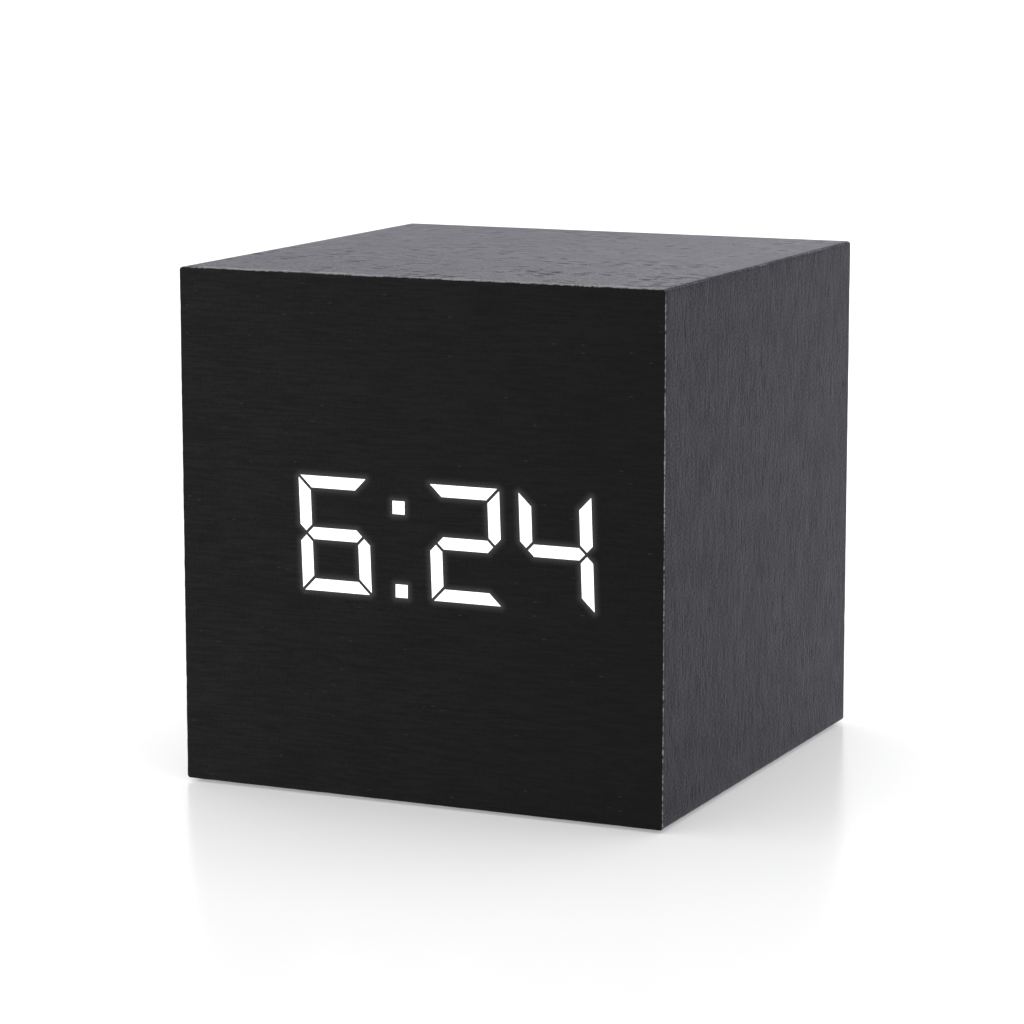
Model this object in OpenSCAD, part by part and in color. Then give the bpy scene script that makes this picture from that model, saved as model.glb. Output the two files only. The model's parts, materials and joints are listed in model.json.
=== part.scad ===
// Cube desk alarm clock: a veneered box of mitred boards with a light-through-wood readout,
// a recessed rear cover with a battery bay, three push buttons and a low-voltage power jack.
// Millimetres. +Z is up, the readout faces -Y, and the origin is on the table under the centre.

/* [Case] */
// Depth of the cube, front to back
case_d = 68; // [62:1:90]
// Room between the battery bay's walls and the boards beside it
side_room = 1.5; // [1.3:0.1:6]
// Height of the strips above and below the battery bay
strip_h = 10.45; // [9.4:0.05:14]
// Thickness of the four boards of the ring
board_t = 5; // [4:0.25:7]
// Thickness of the board behind the front veneer
front_board_t = 3; // [2.5:0.25:4.5]
// Thickness of the wood veneer
veneer_t = 0.5; // [0.3:0.05:0.7]
// Radius of the outer edges
edge_r = 0.6; // [0.2:0.1:1]
// Diameter of a stick-on foot
foot_d = 9; // [6:0.5:12]
// Height of a stick-on foot
foot_h = 0.4; // [0.3:0.1:1.5]
// Distance from the cube's side to a foot's centre
foot_inset = 9; // [7:0.5:14]

/* [Readout] */
// Hour shown
shown_hour = 6; // [1:1:12]
// Minutes shown
shown_minutes = 24; // [0:1:59]
// Height of a digit
digit_h = 15; // [12:0.5:16]
// Width of a digit
digit_w = 9.9; // [8:0.1:10.3]
// Width of an upright stroke
stroke_w = 1.65; // [1.4:0.05:2]
// Height of a level stroke
bar_h = 1.55; // [1.4:0.05:2]
// Dark gap between two strokes
stroke_gap = 0.4; // [0.2:0.05:0.5]
// Lean of the digits in degrees, above zero with their tops to the right
digit_lean = -2; // [-4:0.5:4]
// Distance from a digit's outer edge to the crossing of the gaps at its waist
waist_inset = 0.8; // [0.6:0.05:1]
// Space between two neighbouring digits
digit_gap = 2.7; // [2:0.1:3]
// Space between the digits on either side of the colon
colon_space = 8.6; // [6:0.1:9]
// Side of a colon dot
colon_dot = 1.7; // [1.4:0.05:2.2]
// Height of the upper colon dot above the digits' middle
colon_rise = 4.15; // [2.5:0.05:5]
// Sideways place of the readout's middle
readout_x = 1.75; // [-1:0.05:1.8]
// Height of the readout's middle above the middle of its reflector block
readout_rise = 0.35; // [-0.5:0.05:0.5]

/* [Display module] */
// Thickness of the black mask film
mask_t = 0.1; // [0.1:0.05:0.2]
// Depth of the reflector block
reflector_t = 7; // [5.5:0.5:9]
// Depth of the cloudy resin in each well
resin_t = 2.5; // [1.5:0.25:4]
// Rim of the reflector beside the readout
reflector_side = 1.7; // [1.2:0.1:1.9]
// Rim of the reflector above and below the readout
reflector_rim = 2.5; // [1.5:0.25:3]
// Thickness of both circuit boards
pcb_t = 1.6; // [1:0.2:2]
// Strip of the display board that holds its screws, above and below the reflector
screw_strip = 5; // [4.5:0.25:6]
// Diameter of a spacer
spacer_d = 4; // [3.4:0.2:4.4]

/* [Cells] */
// Diameter of a cell
cell_d = 10.5; // [9.5:0.1:11.5]
// Length of a cell with its nub
cell_len = 44.5; // [43.5:0.25:50]
// Space between two cells
cell_space = 0.2; // [0.1:0.05:0.5]
// Length of a contact spring under load
spring_len = 4.9; // [4:0.1:5]
// Turns of a contact spring
spring_turns = 4; // [3:0.5:5]
// Diameter of the spring wire
spring_wire = 0.6; // [0.4:0.05:0.7]
// Thickness of a contact plate
contact_t = 0.5; // [0.3:0.05:0.5]

/* [Rear cover] */
// Thickness of the cover plate
cover_t = 2; // [1.8:0.1:2.4]
// Depth of the cover below the cube's rear edge
cover_recess = 1; // [0.9:0.1:2.5]
// Gap between the cover and the boards
cover_gap = 0.2; // [0.1:0.05:0.3]
// Wall of the battery bay
bay_wall = 1.8; // [1.6:0.05:2.4]
// Floor of the battery bay
bay_floor_t = 1.5; // [1:0.1:2]
// Thickness of the battery door
door_t = 1.5; // [1.3:0.05:1.6]
// Gap around the battery door
door_gap = 0.15; // [0.1:0.05:0.2]
// Width of the ledge that the door rests on
door_ledge = 0.8; // [0.7:0.05:0.9]
// Thickness of the foam pad inside the door
foam_t = 1; // [0.6:0.1:1.4]
// Width of a door hook
hook_w = 6; // [4:0.5:8]
// Width of the door's latch
latch_w = 9.4; // [7:0.2:12]

/* [Controls] */
// Diameter of a button
button_d = 5.5; // [4.5:0.25:6]
// Gap around a button
button_gap = 0.25; // [0.15:0.05:0.3]
// Height of a button above the cover
button_proud = 0.6; // [0.3:0.05:0.7]
// Travel of a button
button_travel = 0.4; // [0.2:0.05:0.45]
// Distance between two buttons
button_pitch = 9.4; // [9.1:0.1:10.4]
// Bore of the power jack
jack_bore_d = 3.7; // [3.5:0.1:4]
// Diameter of the power jack's centre pin
jack_pin_d = 1.3; // [1:0.05:1.4]
// Diameter of the sounder
sounder_d = 8.6; // [7:0.2:9]

/* [Hidden] */
$fn = 48;
past = 1; // how far a cut runs past the face it opens

// The cells set the size of the bay, and the bay sets the width and height of the cube
cell_r = cell_d / 2;
cell_pitch = cell_d + cell_space;
cell_gap = 0.15;
cell_nub_len = 1;
cell_nub_d = 3.8;
bay_play = 0.2;
bay_w = cell_len + spring_len + 2 * contact_t;
bay_h = 3 * cell_pitch + 2 * bay_play;
inner_w = bay_w + 2 * bay_wall + 2 * side_room;
inner_h = bay_h + 2 * bay_wall + 2 * strip_h;
core_w = inner_w + 2 * board_t;
core_h = inner_h + 2 * board_t;
case_w = core_w + 2 * veneer_t;
case_h = core_h + 2 * veneer_t;

// Levels of the case
mid_z = foot_h + case_h / 2;
front_y = -case_d / 2;
rear_y = case_d / 2;
ring_y = front_y + veneer_t;
front_board_back_y = ring_y + front_board_t;
block_side = 7;
block_len = 16;

// Readout and display module
readout_w = stroke_w + 3 * digit_w + 2 * digit_gap + colon_space;
readout_left = readout_x - readout_w / 2;
half_digit_x = readout_left + stroke_w - digit_w / 2;
hour_x = readout_left + stroke_w + digit_gap + digit_w / 2;
colon_x = hour_x + digit_w / 2 + colon_space / 2;
tens_x = colon_x + colon_space / 2 + digit_w / 2;
ones_x = tens_x + digit_w + digit_gap;
colon_drop = digit_h / 2 - colon_dot / 2;
lean_rate = tan(digit_lean);
lit_z = mid_z + readout_rise;
reflector_w = readout_w + 2 * reflector_side;
reflector_h = digit_h + 2 * reflector_rim;
reflector_y = ring_y + mask_t;
window_gap = 0.2;
display_pcb_margin = 1.5;
display_screw_inset = 3;
display_pcb_y = reflector_y + reflector_t;
display_pcb_back_y = display_pcb_y + pcb_t;
display_pcb_w = inner_w - 2 * display_pcb_margin;
display_pcb_h = reflector_h + 2 * screw_strip;
display_screw_x = display_pcb_w / 2 - display_screw_inset;
display_screw_z = reflector_h / 2 + screw_strip / 2;
display_screw_bite = front_board_t - 0.6;
led_size = [1.6, 0.8, 0.6];
STROKES = ["abcdef", "bc", "abged", "abgcd", "fgbc", "afgcd", "afgecd", "abc", "abcdefg", "abcdfg"];
ALL_STROKES = "abcdefg";
HALF_STROKES = "bc";

// Rear cover and battery bay
cover_y = rear_y - cover_recess;
cover_in_y = cover_y - cover_t;
cover_w = inner_w - 2 * cover_gap;
cover_h = inner_h - 2 * cover_gap;
cover_corner_r = 1;
door_in_y = cover_y - door_t;
foam_gap = 0.1;
cell_y = door_in_y - foam_t - foam_gap - cell_r;
bay_floor_y = cell_y - cell_r - cell_gap;
bay_back_y = bay_floor_y - bay_floor_t;
cradle_h = 2.2;
door_w = bay_w + 2 * door_ledge;
door_h = bay_h + 2 * door_ledge;
door_foot_z = mid_z - door_h / 2;
hinge_z = door_foot_z - door_gap;
hook_x = door_w / 4;
hook_gap = 0.3;
hook_lip_gap = 0.2;
toe_t = 1.1;
toe_reach = 1.2;
neck_t = 1;
toe_top_y = cover_in_y - hook_lip_gap;
toe_low_y = toe_top_y - toe_t;
hook_pocket_y = cover_y - norm([cover_y - toe_low_y, toe_reach]) - 0.2;
latch_t = 0.7;
latch_bend = 1;
latch_gap = 0.3;
latch_nose = 0.55;
latch_leg_z = mid_z + bay_h / 2 - 0.25;
latch_root_z = latch_leg_z - 2 * latch_t - latch_bend;
latch_deep_y = cell_y + sqrt(cell_r * cell_r - pow(latch_root_z - mid_z - cell_pitch, 2)) + 0.17;

// Controls in the strip above the bay, from the jack on the left to the microphone on the right
strip_z = mid_z + inner_h / 2 - strip_h / 2;
sounder_z = mid_z - inner_h / 2 + strip_h / 2;
strip_clearance = 0.4;
strip_end_gap = 1;
strip_half_w = inner_w / 2 - block_side - strip_end_gap;
row_gap = 0.4;
jack_side = 6.4;
switch_side = 6;
mic_d = 4;
boot_wall = 0.3;
jack_x = jack_side / 2 - strip_half_w;
mic_x = strip_half_w - boot_wall - mic_d / 2;
set_x = mic_x - mic_d / 2 - boot_wall - row_gap - switch_side / 2;
up_x = set_x - button_pitch;
down_x = up_x - button_pitch;
button_wing_t = 1;
button_wing_h = 8.6;
button_stop_gap = 0.05;
wing_y = cover_in_y - button_stop_gap - button_wing_t;
switch_case_h = 3.5;
plunger_d = 3.4;
plunger_show = 0.9;
plunger_deep = 1.4;
plunger_gap = 0.1;
switch_top_y = wing_y - plunger_show;
control_pcb_back_y = switch_top_y - switch_case_h;
control_pcb_y = control_pcb_back_y - pcb_t;
jack_board_gap = 0.2;
control_pcb_w = 2 * strip_half_w - jack_side - jack_board_gap;
control_pcb_x = strip_half_w - control_pcb_w / 2;
control_pcb_h = strip_h - 2 * strip_clearance;
boss_d = 2.6;
boss_x = [up_x - button_pitch / 2, up_x + button_pitch / 2];
jack_nose_d = 5.6;
jack_nose_recess = 0.4;
jack_bore_len = 9.5;
jack_back_t = 1.1;
jack_nose_y = cover_y - jack_nose_recess;
jack_bore_y = jack_nose_y - jack_bore_len;
jack_deep_y = jack_bore_y - jack_back_t;
jack_seat_gap = 0.15;
jack_slot_len = 6.2;
leaf_low_z = jack_bore_d / 2 - 0.4;
mic_h = 2;
mic_hole_d = 1.2;
sounder_h = 4.6;
tape_t = 0.4;

// Screws
cover_screw_in = block_side / 2 + 0.1;
cover_screw_x = inner_w / 2 - cover_screw_in;
cover_screw_z = inner_h / 2 - cover_screw_in;
cover_screw_head = 4.6;
cover_screw_d = 2.2;
cover_screw_len = 9;
small_screw_head = 3.4;
display_screw_d = 2;
control_screw_d = 1.4;
control_screw_len = 4.6;
control_screw_deep = control_screw_len - pcb_t + 0.4;
head_h = 1.4;

// Leads and ribbon
lead_d = 1.2;
lead_sides = 8;
ribbon_w = 8;
ribbon_t = 0.9;
ribbon_steps = 28;
ribbon_plug = 1.5;
header_size = [10, 4, 3.2];
header_inset = 0.9;
header_x = strip_half_w - header_inset - header_size[0] / 2;
display_header_z = 9;
lug_w = 3;
lug_len = 3;
lug_gap = 0.1;
contact_w = 7.6;
contact_h = 8;
tube_step = 2.5;
pad_drop = 2.5;
sounder_pad_x = -4;
black_pad_x = -9;
lead_pad = [0, control_pcb_y, strip_z - pad_drop];
lead_lift = [0, -2, 0];

// A box centred on x and z that runs from y towards +Y
module plate(w, t, h, x = 0, y = 0, z = 0) {
    translate([x - w / 2, y, z - h / 2]) cube([w, t, h]);
}

// A round rod that runs from y towards +Y
module rod(d, len, x = 0, y = 0, z = 0) {
    translate([x, y, z]) rotate([-90, 0, 0]) cylinder(d = d, h = len);
}

// A round rod that runs from x towards +X
module cross_rod(d, len, x = 0, y = 0, z = 0) {
    translate([x, y, z]) rotate([0, 90, 0]) cylinder(d = d, h = len);
}

// An outline drawn in x and z, raised from y towards +Y
module raise(t, y = 0, z = 0) {
    translate([0, y + t, z]) rotate([90, 0, 0]) linear_extrude(t) children();
}

// An outline drawn in y and z, swept across x
module sweep_x(w, x = 0) {
    translate([x, 0, 0]) rotate([90, 0, 90]) linear_extrude(w, center = true) children();
}

module rounded_rect(w, h, r) {
    square([w - 2 * r, h], center = true);
    square([w, h - 2 * r], center = true);
    for (x = [-1, 1], z = [-1, 1])
        translate([x * (w / 2 - r), z * (h / 2 - r)]) circle(r);
}

module at_corners(x, z) {
    for (sx = [-1, 1], sz = [-1, 1]) translate([sx * x, 0, mid_z + sz * z]) children();
}

// A screw along Z: the head's underside is at z = 0 and the shank points down
module screw(head_d, shank_d, len) {
    slot = head_d * 0.56;
    difference() {
        rotate_extrude() polygon([
            [0, 0], [head_d / 2, 0], [head_d / 2, head_h * 0.55],
            [head_d * 0.3, head_h], [0, head_h]
        ]);
        for (a = [0, 90]) rotate([0, 0, a])
            translate([0, 0, head_h]) cube([slot, slot / 4, head_h * 1.3], center = true);
    }
    rotate_extrude() polygon([
        [0, 0], [shank_d / 2, 0], [shank_d / 2, shank_d - len], [0.1, -len], [0, -len]
    ]);
}

// Smooth tube along a list of points, as one closed skin
function unit(v) = v / norm(v);
function heading(p, i) = unit(p[min(i + 1, len(p) - 1)] - p[max(i - 1, 0)]);
function carry(side, dir) = unit(side - (side * dir) * dir);
function sides_along(p, side, i = 0) =
    i == len(p) ? [] :
    let (s = carry(side, heading(p, i))) concat([s], sides_along(p, s, i + 1));
function ring_of(c, dir, side, r, n) =
    [for (k = [0:n - 1]) c + r * (cos(360 * k / n) * side + sin(360 * k / n) * cross(dir, side))];

module tube(p, d, start_side, n = lead_sides) {
    sides = sides_along(p, start_side);
    rings = [for (i = [0:len(p) - 1]) ring_of(p[i], heading(p, i), sides[i], d / 2, n)];
    last = (len(p) - 1) * n;
    skin = [
        for (i = [0:len(p) - 2], k = [0:n - 1], half = [0, 1])
            let (a = i * n + k, b = i * n + (k + 1) % n)
            half == 0 ? [a, a + n, b] : [b, a + n, b + n]
    ];
    caps = [
        for (k = [1:n - 2], end = [0, 1])
            end == 0 ? [0, k, k + 1] : [last, last + k + 1, last + k]
    ];
    polyhedron([for (r = rings) each r], concat(skin, caps));
}

// Points of a curve that passes through each chosen point
function spline_at(a, b, c, d, t) =
    0.5 * (2 * b + (c - a) * t + (2 * a - 5 * b + 4 * c - d) * t * t
    + (3 * b - a - 3 * c + d) * t * t * t);
function spline(p) = [
    for (i = [0:len(p) - 2])
        let (n = max(1, round(norm(p[i + 1] - p[i]) / tube_step)))
        for (k = [0:n - (i == len(p) - 2 ? 0 : 1)])
            spline_at(p[max(i - 1, 0)], p[i], p[i + 1], p[min(i + 2, len(p) - 1)], k / n)
];

// Mitred boards of the ring
module mitred_board(width, height) {
    raise(rear_y - ring_y, ring_y, mid_z) polygon([
        [-width / 2, height / 2], [width / 2, height / 2],
        [width / 2 - board_t, height / 2 - board_t], [board_t - width / 2, height / 2 - board_t]
    ]);
}

module top_board() {
    color("#6b5138") mitred_board(core_w, core_h);
}

module bottom_board() {
    color("#6b5138") translate([0, 0, 2 * mid_z]) mirror([0, 0, 1]) mitred_board(core_w, core_h);
}

module side_board(side) {
    color("#6b5138") raise(rear_y - ring_y, ring_y, mid_z) polygon([
        [side * core_w / 2, core_h / 2], [side * core_w / 2, -core_h / 2],
        [side * (core_w / 2 - board_t), board_t - core_h / 2],
        [side * (core_w / 2 - board_t), core_h / 2 - board_t]
    ]);
}

// One sheet of veneer folded around the four boards
module ring_veneer() {
    color("#3f3e42") raise(rear_y - ring_y, ring_y, mid_z) difference() {
        rounded_rect(case_w, case_h, edge_r);
        square([core_w, core_h], center = true);
    }
}

module front_board() {
    color("#8a6b4b") difference() {
        plate(inner_w, front_board_t, inner_h, 0, ring_y, mid_z);
        plate(reflector_w + 2 * window_gap, front_board_t + 2 * past, reflector_h + 2 * window_gap,
            readout_x, ring_y - past, mid_z);
        at_corners(display_screw_x, display_screw_z)
            rod(display_screw_d, display_screw_bite + past, 0, front_board_back_y - display_screw_bite);
    }
}

module front_veneer() {
    color("#232225") difference() {
        raise(veneer_t, front_y, mid_z) rounded_rect(case_w, case_h, edge_r);
        lit_strokes(front_y - past, veneer_t + 2 * past);
    }
}

// Glued blocks that take the cover's screws
module corner_blocks() {
    hole_len = cover_screw_len + 1;
    color("#c8a878") for (sx = [-1, 1], sz = [-1, 1]) difference() {
        plate(block_side, block_len, block_side, sx * (inner_w - block_side) / 2,
            cover_in_y - block_len, mid_z + sz * (inner_h - block_side) / 2);
        rod(cover_screw_d, hole_len + past, sx * cover_screw_x, cover_in_y - hole_len,
            mid_z + sz * cover_screw_z);
    }
}

module feet() {
    color("#2a2a2a") for (sx = [-1, 1], sy = [-1, 1])
        translate([sx * (case_w / 2 - foot_inset), sy * (case_d / 2 - foot_inset), 0])
            cylinder(d = foot_d, h = foot_h);
}

function flipped(points, sx, sz) = [for (p = points) [sx * p[0], sz * p[1]]];
function leaning(points) = [for (p = points) [p[0] + lean_rate * p[1], p[1]]];

// Outline of an upright digit's stroke, with the digit's middle at the origin
function stroke_points(letter) =
    let (w = digit_w / 2, h = digit_h / 2, s = stroke_w, b = bar_h, e = stroke_gap / sqrt(2), m = waist_inset)
    letter == "a" ? [[e - w, h], [w - e, h], [w - b - e, h - b], [b + e - w, h - b]] :
    letter == "d" ? flipped(stroke_points("a"), 1, -1) :
    letter == "g" ? [
        [m + e - w, 0], [m + e + b / 2 - w, b / 2], [w - m - e - b / 2, b / 2],
        [w - m - e, 0], [w - m - e - b / 2, -b / 2], [m + e + b / 2 - w, -b / 2]
    ] :
    letter == "f" ? [[-w, h - e], [s - w, h - s - e], [s - w, s - m + e], [m - w, e], [-w, m + e]] :
    letter == "b" ? flipped(stroke_points("f"), -1, 1) :
    letter == "e" ? flipped(stroke_points("f"), 1, -1) :
    flipped(stroke_points("f"), -1, -1);

module stroke_shape(letter) {
    polygon(leaning(stroke_points(letter)));
}

function has(letters, letter) = len(search(letter, letters)) > 0;
function hour_letters() = STROKES[shown_hour % 10];
function half_letters() = shown_hour >= 10 ? HALF_STROKES : "";
function tens_letters() = STROKES[floor(shown_minutes / 10)];
function ones_letters() = STROKES[shown_minutes % 10];
function dark(all, lit) = [for (c = all) if (!has(lit, c)) c];

module digit_strokes(x, letters, y, t) {
    for (c = letters) translate([x, 0, 0]) raise(t, y, lit_z) stroke_shape(c);
}

module colon(y, t) {
    for (dz = [colon_rise, -colon_drop])
        plate(colon_dot, t, colon_dot, colon_x + lean_rate * dz, y, lit_z + dz);
}

module lit_hour(y, t) {
    digit_strokes(half_digit_x, half_letters(), y, t);
    digit_strokes(hour_x, hour_letters(), y, t);
}

module lit_strokes(y, t) {
    lit_hour(y, t);
    colon(y, t);
    digit_strokes(tens_x, tens_letters(), y, t);
    digit_strokes(ones_x, ones_letters(), y, t);
}

module dark_strokes(y, t) {
    digit_strokes(half_digit_x, dark(HALF_STROKES, half_letters()), y, t);
    digit_strokes(hour_x, dark(ALL_STROKES, hour_letters()), y, t);
    digit_strokes(tens_x, dark(ALL_STROKES, tens_letters()), y, t);
    digit_strokes(ones_x, dark(ALL_STROKES, ones_letters()), y, t);
}

// Film that keeps stray light off the veneer
module display_mask() {
    color("#111111") difference() {
        plate(reflector_w, mask_t, reflector_h, readout_x, ring_y, mid_z);
        lit_strokes(ring_y - past, mask_t + 2 * past);
        dark_strokes(ring_y - past, mask_t + 2 * past);
    }
}

module display_reflector() {
    color("#d9d9d6") difference() {
        plate(reflector_w, reflector_t, reflector_h, readout_x, reflector_y, mid_z);
        lit_strokes(reflector_y - past, reflector_t + 2 * past);
        dark_strokes(reflector_y - past, reflector_t + 2 * past);
    }
}

// Lit strokes fill their wells and show flush with the front face
lit_t = reflector_y + resin_t - front_y;

module hour_segments() {
    color("#ffffff") lit_hour(front_y, lit_t);
}

module colon_dots() {
    color("#ffffff") colon(front_y, lit_t);
}

module minute_tens_segments() {
    color("#ffffff") digit_strokes(tens_x, tens_letters(), front_y, lit_t);
}

module minute_ones_segments() {
    color("#ffffff") digit_strokes(ones_x, ones_letters(), front_y, lit_t);
}

module unlit_segments() {
    color("#c9c9c4") dark_strokes(ring_y, mask_t + resin_t);
}

function stroke_middle(letter) =
    let (x = digit_w / 2 - stroke_w / 2, z = digit_h / 4, end = digit_h / 2 - bar_h / 2)
    letter == "a" ? [0, end] : letter == "d" ? [0, -end] : letter == "g" ? [0, 0] :
    letter == "b" ? [x, z] : letter == "c" ? [x, -z] : letter == "e" ? [-x, -z] : [-x, z];

module led_at(x, z, upright) {
    w = upright ? led_size[1] : led_size[0];
    h = upright ? led_size[0] : led_size[1];
    plate(w, led_size[2], h, x + lean_rate * z, display_pcb_y - led_size[2], lit_z + z);
}

module display_leds() {
    color("#f2eaa8") {
        for (x = [hour_x, tens_x, ones_x], c = ALL_STROKES)
            led_at(x + stroke_middle(c)[0], stroke_middle(c)[1], !has("adg", c));
        for (c = HALF_STROKES)
            led_at(half_digit_x + stroke_middle(c)[0], stroke_middle(c)[1], true);
        for (dz = [colon_rise, -colon_drop]) led_at(colon_x, dz, false);
    }
}

module display_pcb() {
    color("#1d5c3a") difference() {
        plate(display_pcb_w, pcb_t, display_pcb_h, 0, display_pcb_y, mid_z);
        at_corners(display_screw_x, display_screw_z)
            rod(display_screw_d + 0.4, pcb_t + 2 * past, 0, display_pcb_y - past);
    }
}

module display_spacers() {
    color("#e8e4da") at_corners(display_screw_x, display_screw_z) difference() {
        rod(spacer_d, display_pcb_y - front_board_back_y, 0, front_board_back_y);
        rod(display_screw_d + 0.4, case_d, 0, front_y);
    }
}

module display_screws() {
    len = display_pcb_back_y - front_board_back_y + display_screw_bite;
    color("#9a9da1") at_corners(display_screw_x, display_screw_z)
        translate([0, display_pcb_back_y, 0]) rotate([-90, 0, 0])
            screw(small_screw_head, display_screw_d, len);
}

// Parts on the back of the display board
chip_pins = 14;
pin_pitch = 1.27;
pin_size = [0.4, 0.25, 1.4];
chip_size = [(chip_pins - 1) * pin_pitch + 1.5, 2.3, 7.5];
chip_x = -7;
chip_lift = 0.2;

module controller_chip() {
    body_y = display_pcb_back_y + chip_lift;
    color("#1a1a1a") difference() {
        plate(chip_size[0], chip_size[1], chip_size[2], chip_x, body_y, mid_z);
        rod(1.2, chip_size[1], chip_x - chip_size[0] / 2 + 1.6, body_y + chip_size[1] - 0.15,
            mid_z - chip_size[2] / 2 + 1.6);
    }
    color("#c0c2c4") for (i = [0:chip_pins - 1], side = [-1, 1]) {
        x = chip_x + (i - (chip_pins - 1) / 2) * pin_pitch;
        leg_z = mid_z + side * (chip_size[2] / 2 + pin_size[2] / 2);
        plate(pin_size[0], pin_size[1], pin_size[2], x, display_pcb_back_y, leg_z);
        plate(pin_size[0], 1.2, pin_size[1], x, display_pcb_back_y,
            mid_z + side * (chip_size[2] / 2 + pin_size[1] / 2));
    }
}

crystal_d = 2;
crystal_len = 6;
crystal_x = chip_x - 4;
crystal_z = mid_z - 9.5;
crystal_wire_d = 0.3;
crystal_wire_len = 2;

module clock_crystal() {
    y = display_pcb_back_y + crystal_d / 2;
    color("#c9ccd0") {
        cross_rod(crystal_d, crystal_len, crystal_x, y, crystal_z);
        for (dz = [-crystal_d / 4, crystal_d / 4]) {
            cross_rod(crystal_wire_d, crystal_wire_len, crystal_x - crystal_wire_len, y, crystal_z + dz);
            rod(crystal_wire_d, crystal_d / 2, crystal_x - crystal_wire_len + crystal_wire_d / 2,
                display_pcb_back_y, crystal_z + dz);
        }
    }
}

resistor_size = [1.25, 0.5, 2];
resistor_pitch = 2.2;
resistor_x = display_pcb_w / 2 - 15;
resistor_z = mid_z - reflector_h / 2 - resistor_size[2] / 2;

module led_resistors() {
    color("#202020") for (i = [0:len(ALL_STROKES) - 1])
        plate(resistor_size[0], resistor_size[1], resistor_size[2],
            resistor_x + (i - 3) * resistor_pitch, display_pcb_back_y, resistor_z);
}

capacitor_d = 6.3;
capacitor_len = 7;
capacitor_x = display_pcb_w / 2 - 13;
capacitor_z = mid_z - 2;
capacitor_vent = 0.3;

module smoothing_capacitor() {
    vent_y = display_pcb_back_y + capacitor_len - capacitor_vent / 2;
    color("#303a5a") difference() {
        rod(capacitor_d, capacitor_len, capacitor_x, display_pcb_back_y, capacitor_z);
        translate([capacitor_x, display_pcb_back_y + capacitor_len / 5, capacitor_z])
            rotate([-90, 0, 0]) rotate_extrude()
            translate([capacitor_d / 2 + capacitor_vent / 2, 0]) circle(capacitor_d / 12);
        for (turn = [0, 90]) translate([capacitor_x, 0, capacitor_z]) rotate([0, turn, 0])
            plate(capacitor_d * 0.6, capacitor_vent, capacitor_vent, 0, vent_y, 0);
    }
}

// A ribbon header, with the slot that the ribbon plugs into at mouth_y
module header_at(y, mouth_y, z) {
    color("#efece2") difference() {
        plate(header_size[0], header_size[1], header_size[2], header_x, y, z);
        plate(ribbon_w, 2 * ribbon_plug, ribbon_t, header_x, mouth_y - ribbon_plug, z);
    }
}

display_mouth_y = display_pcb_back_y + header_size[1];
control_mouth_y = control_pcb_y - header_size[1];

module display_header() {
    header_at(display_pcb_back_y, display_mouth_y, mid_z + display_header_z);
}

module control_header() {
    header_at(control_mouth_y, control_mouth_y, strip_z);
}

// The ribbon hangs in one easy curve between the two headers
function bezier(a, b, c, d, t) =
    pow(1 - t, 3) * a + 3 * t * pow(1 - t, 2) * b + 3 * t * t * (1 - t) * c + pow(t, 3) * d;

module ribbon_cable() {
    a = [display_mouth_y, mid_z + display_header_z];
    d = [control_mouth_y, strip_z];
    reach = (d[0] - a[0]) * 0.45;
    plugged = [ribbon_plug, 0];
    line = [for (i = [0:ribbon_steps])
        bezier(a, a + [reach, 0], d - [reach, 0], d, i / ribbon_steps)];
    across = [for (i = [0:ribbon_steps])
        let (h = i == 0 || i == ribbon_steps ? [1, 0] : heading(line, i))
        [-h[1], h[0]] * ribbon_t / 2];
    end = [0, ribbon_t / 2];
    color("#9aa0a6") sweep_x(ribbon_w, header_x) polygon(concat(
        [a - plugged + end], [for (i = [0:ribbon_steps]) line[i] + across[i]],
        [d + plugged + end, d + plugged - end],
        [for (i = [ribbon_steps:-1:0]) line[i] - across[i]], [a - plugged - end]
    ));
}

// Rear cover, moulded in one with the battery bay
module at_cover_screws() {
    at_corners(cover_screw_x, cover_screw_z) children();
}

module cover_solid() {
    raise(cover_t, cover_in_y, mid_z) rounded_rect(cover_w, cover_h, cover_corner_r);
    plate(bay_w + 2 * bay_wall, door_in_y - bay_back_y, bay_h + 2 * bay_wall, 0, bay_back_y, mid_z);
    for (x = boss_x)
        rod(boss_d, cover_in_y - control_pcb_back_y, x, control_pcb_back_y, strip_z);
}

module hook_pockets() {
    for (side = [-1, 1]) {
        w = hook_w + 2 * hook_gap;
        low_z = hinge_z - toe_reach - 0.3;
        top_z = mid_z - bay_h / 2;
        translate([side * hook_x - w / 2, hook_pocket_y, low_z])
            cube([w, cover_in_y - hook_pocket_y, top_z - low_z + past]);
        translate([side * hook_x - w / 2, hook_pocket_y, hinge_z])
            cube([w, door_in_y - hook_pocket_y + past, top_z - hinge_z + past]);
    }
}

module latch_pocket() {
    w = latch_w + 2 * latch_gap;
    low_z = mid_z + bay_h / 2 - past;
    high_z = mid_z + door_h / 2 + door_gap + latch_nose + latch_gap;
    translate([-w / 2, latch_deep_y - latch_gap, low_z])
        cube([w, cover_in_y - latch_deep_y + latch_gap, high_z - low_z]);
    translate([-w / 2, latch_deep_y - latch_gap, low_z])
        cube([w, door_in_y - latch_deep_y + latch_gap + past,
            mid_z + door_h / 2 + door_gap - low_z]);
}

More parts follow.
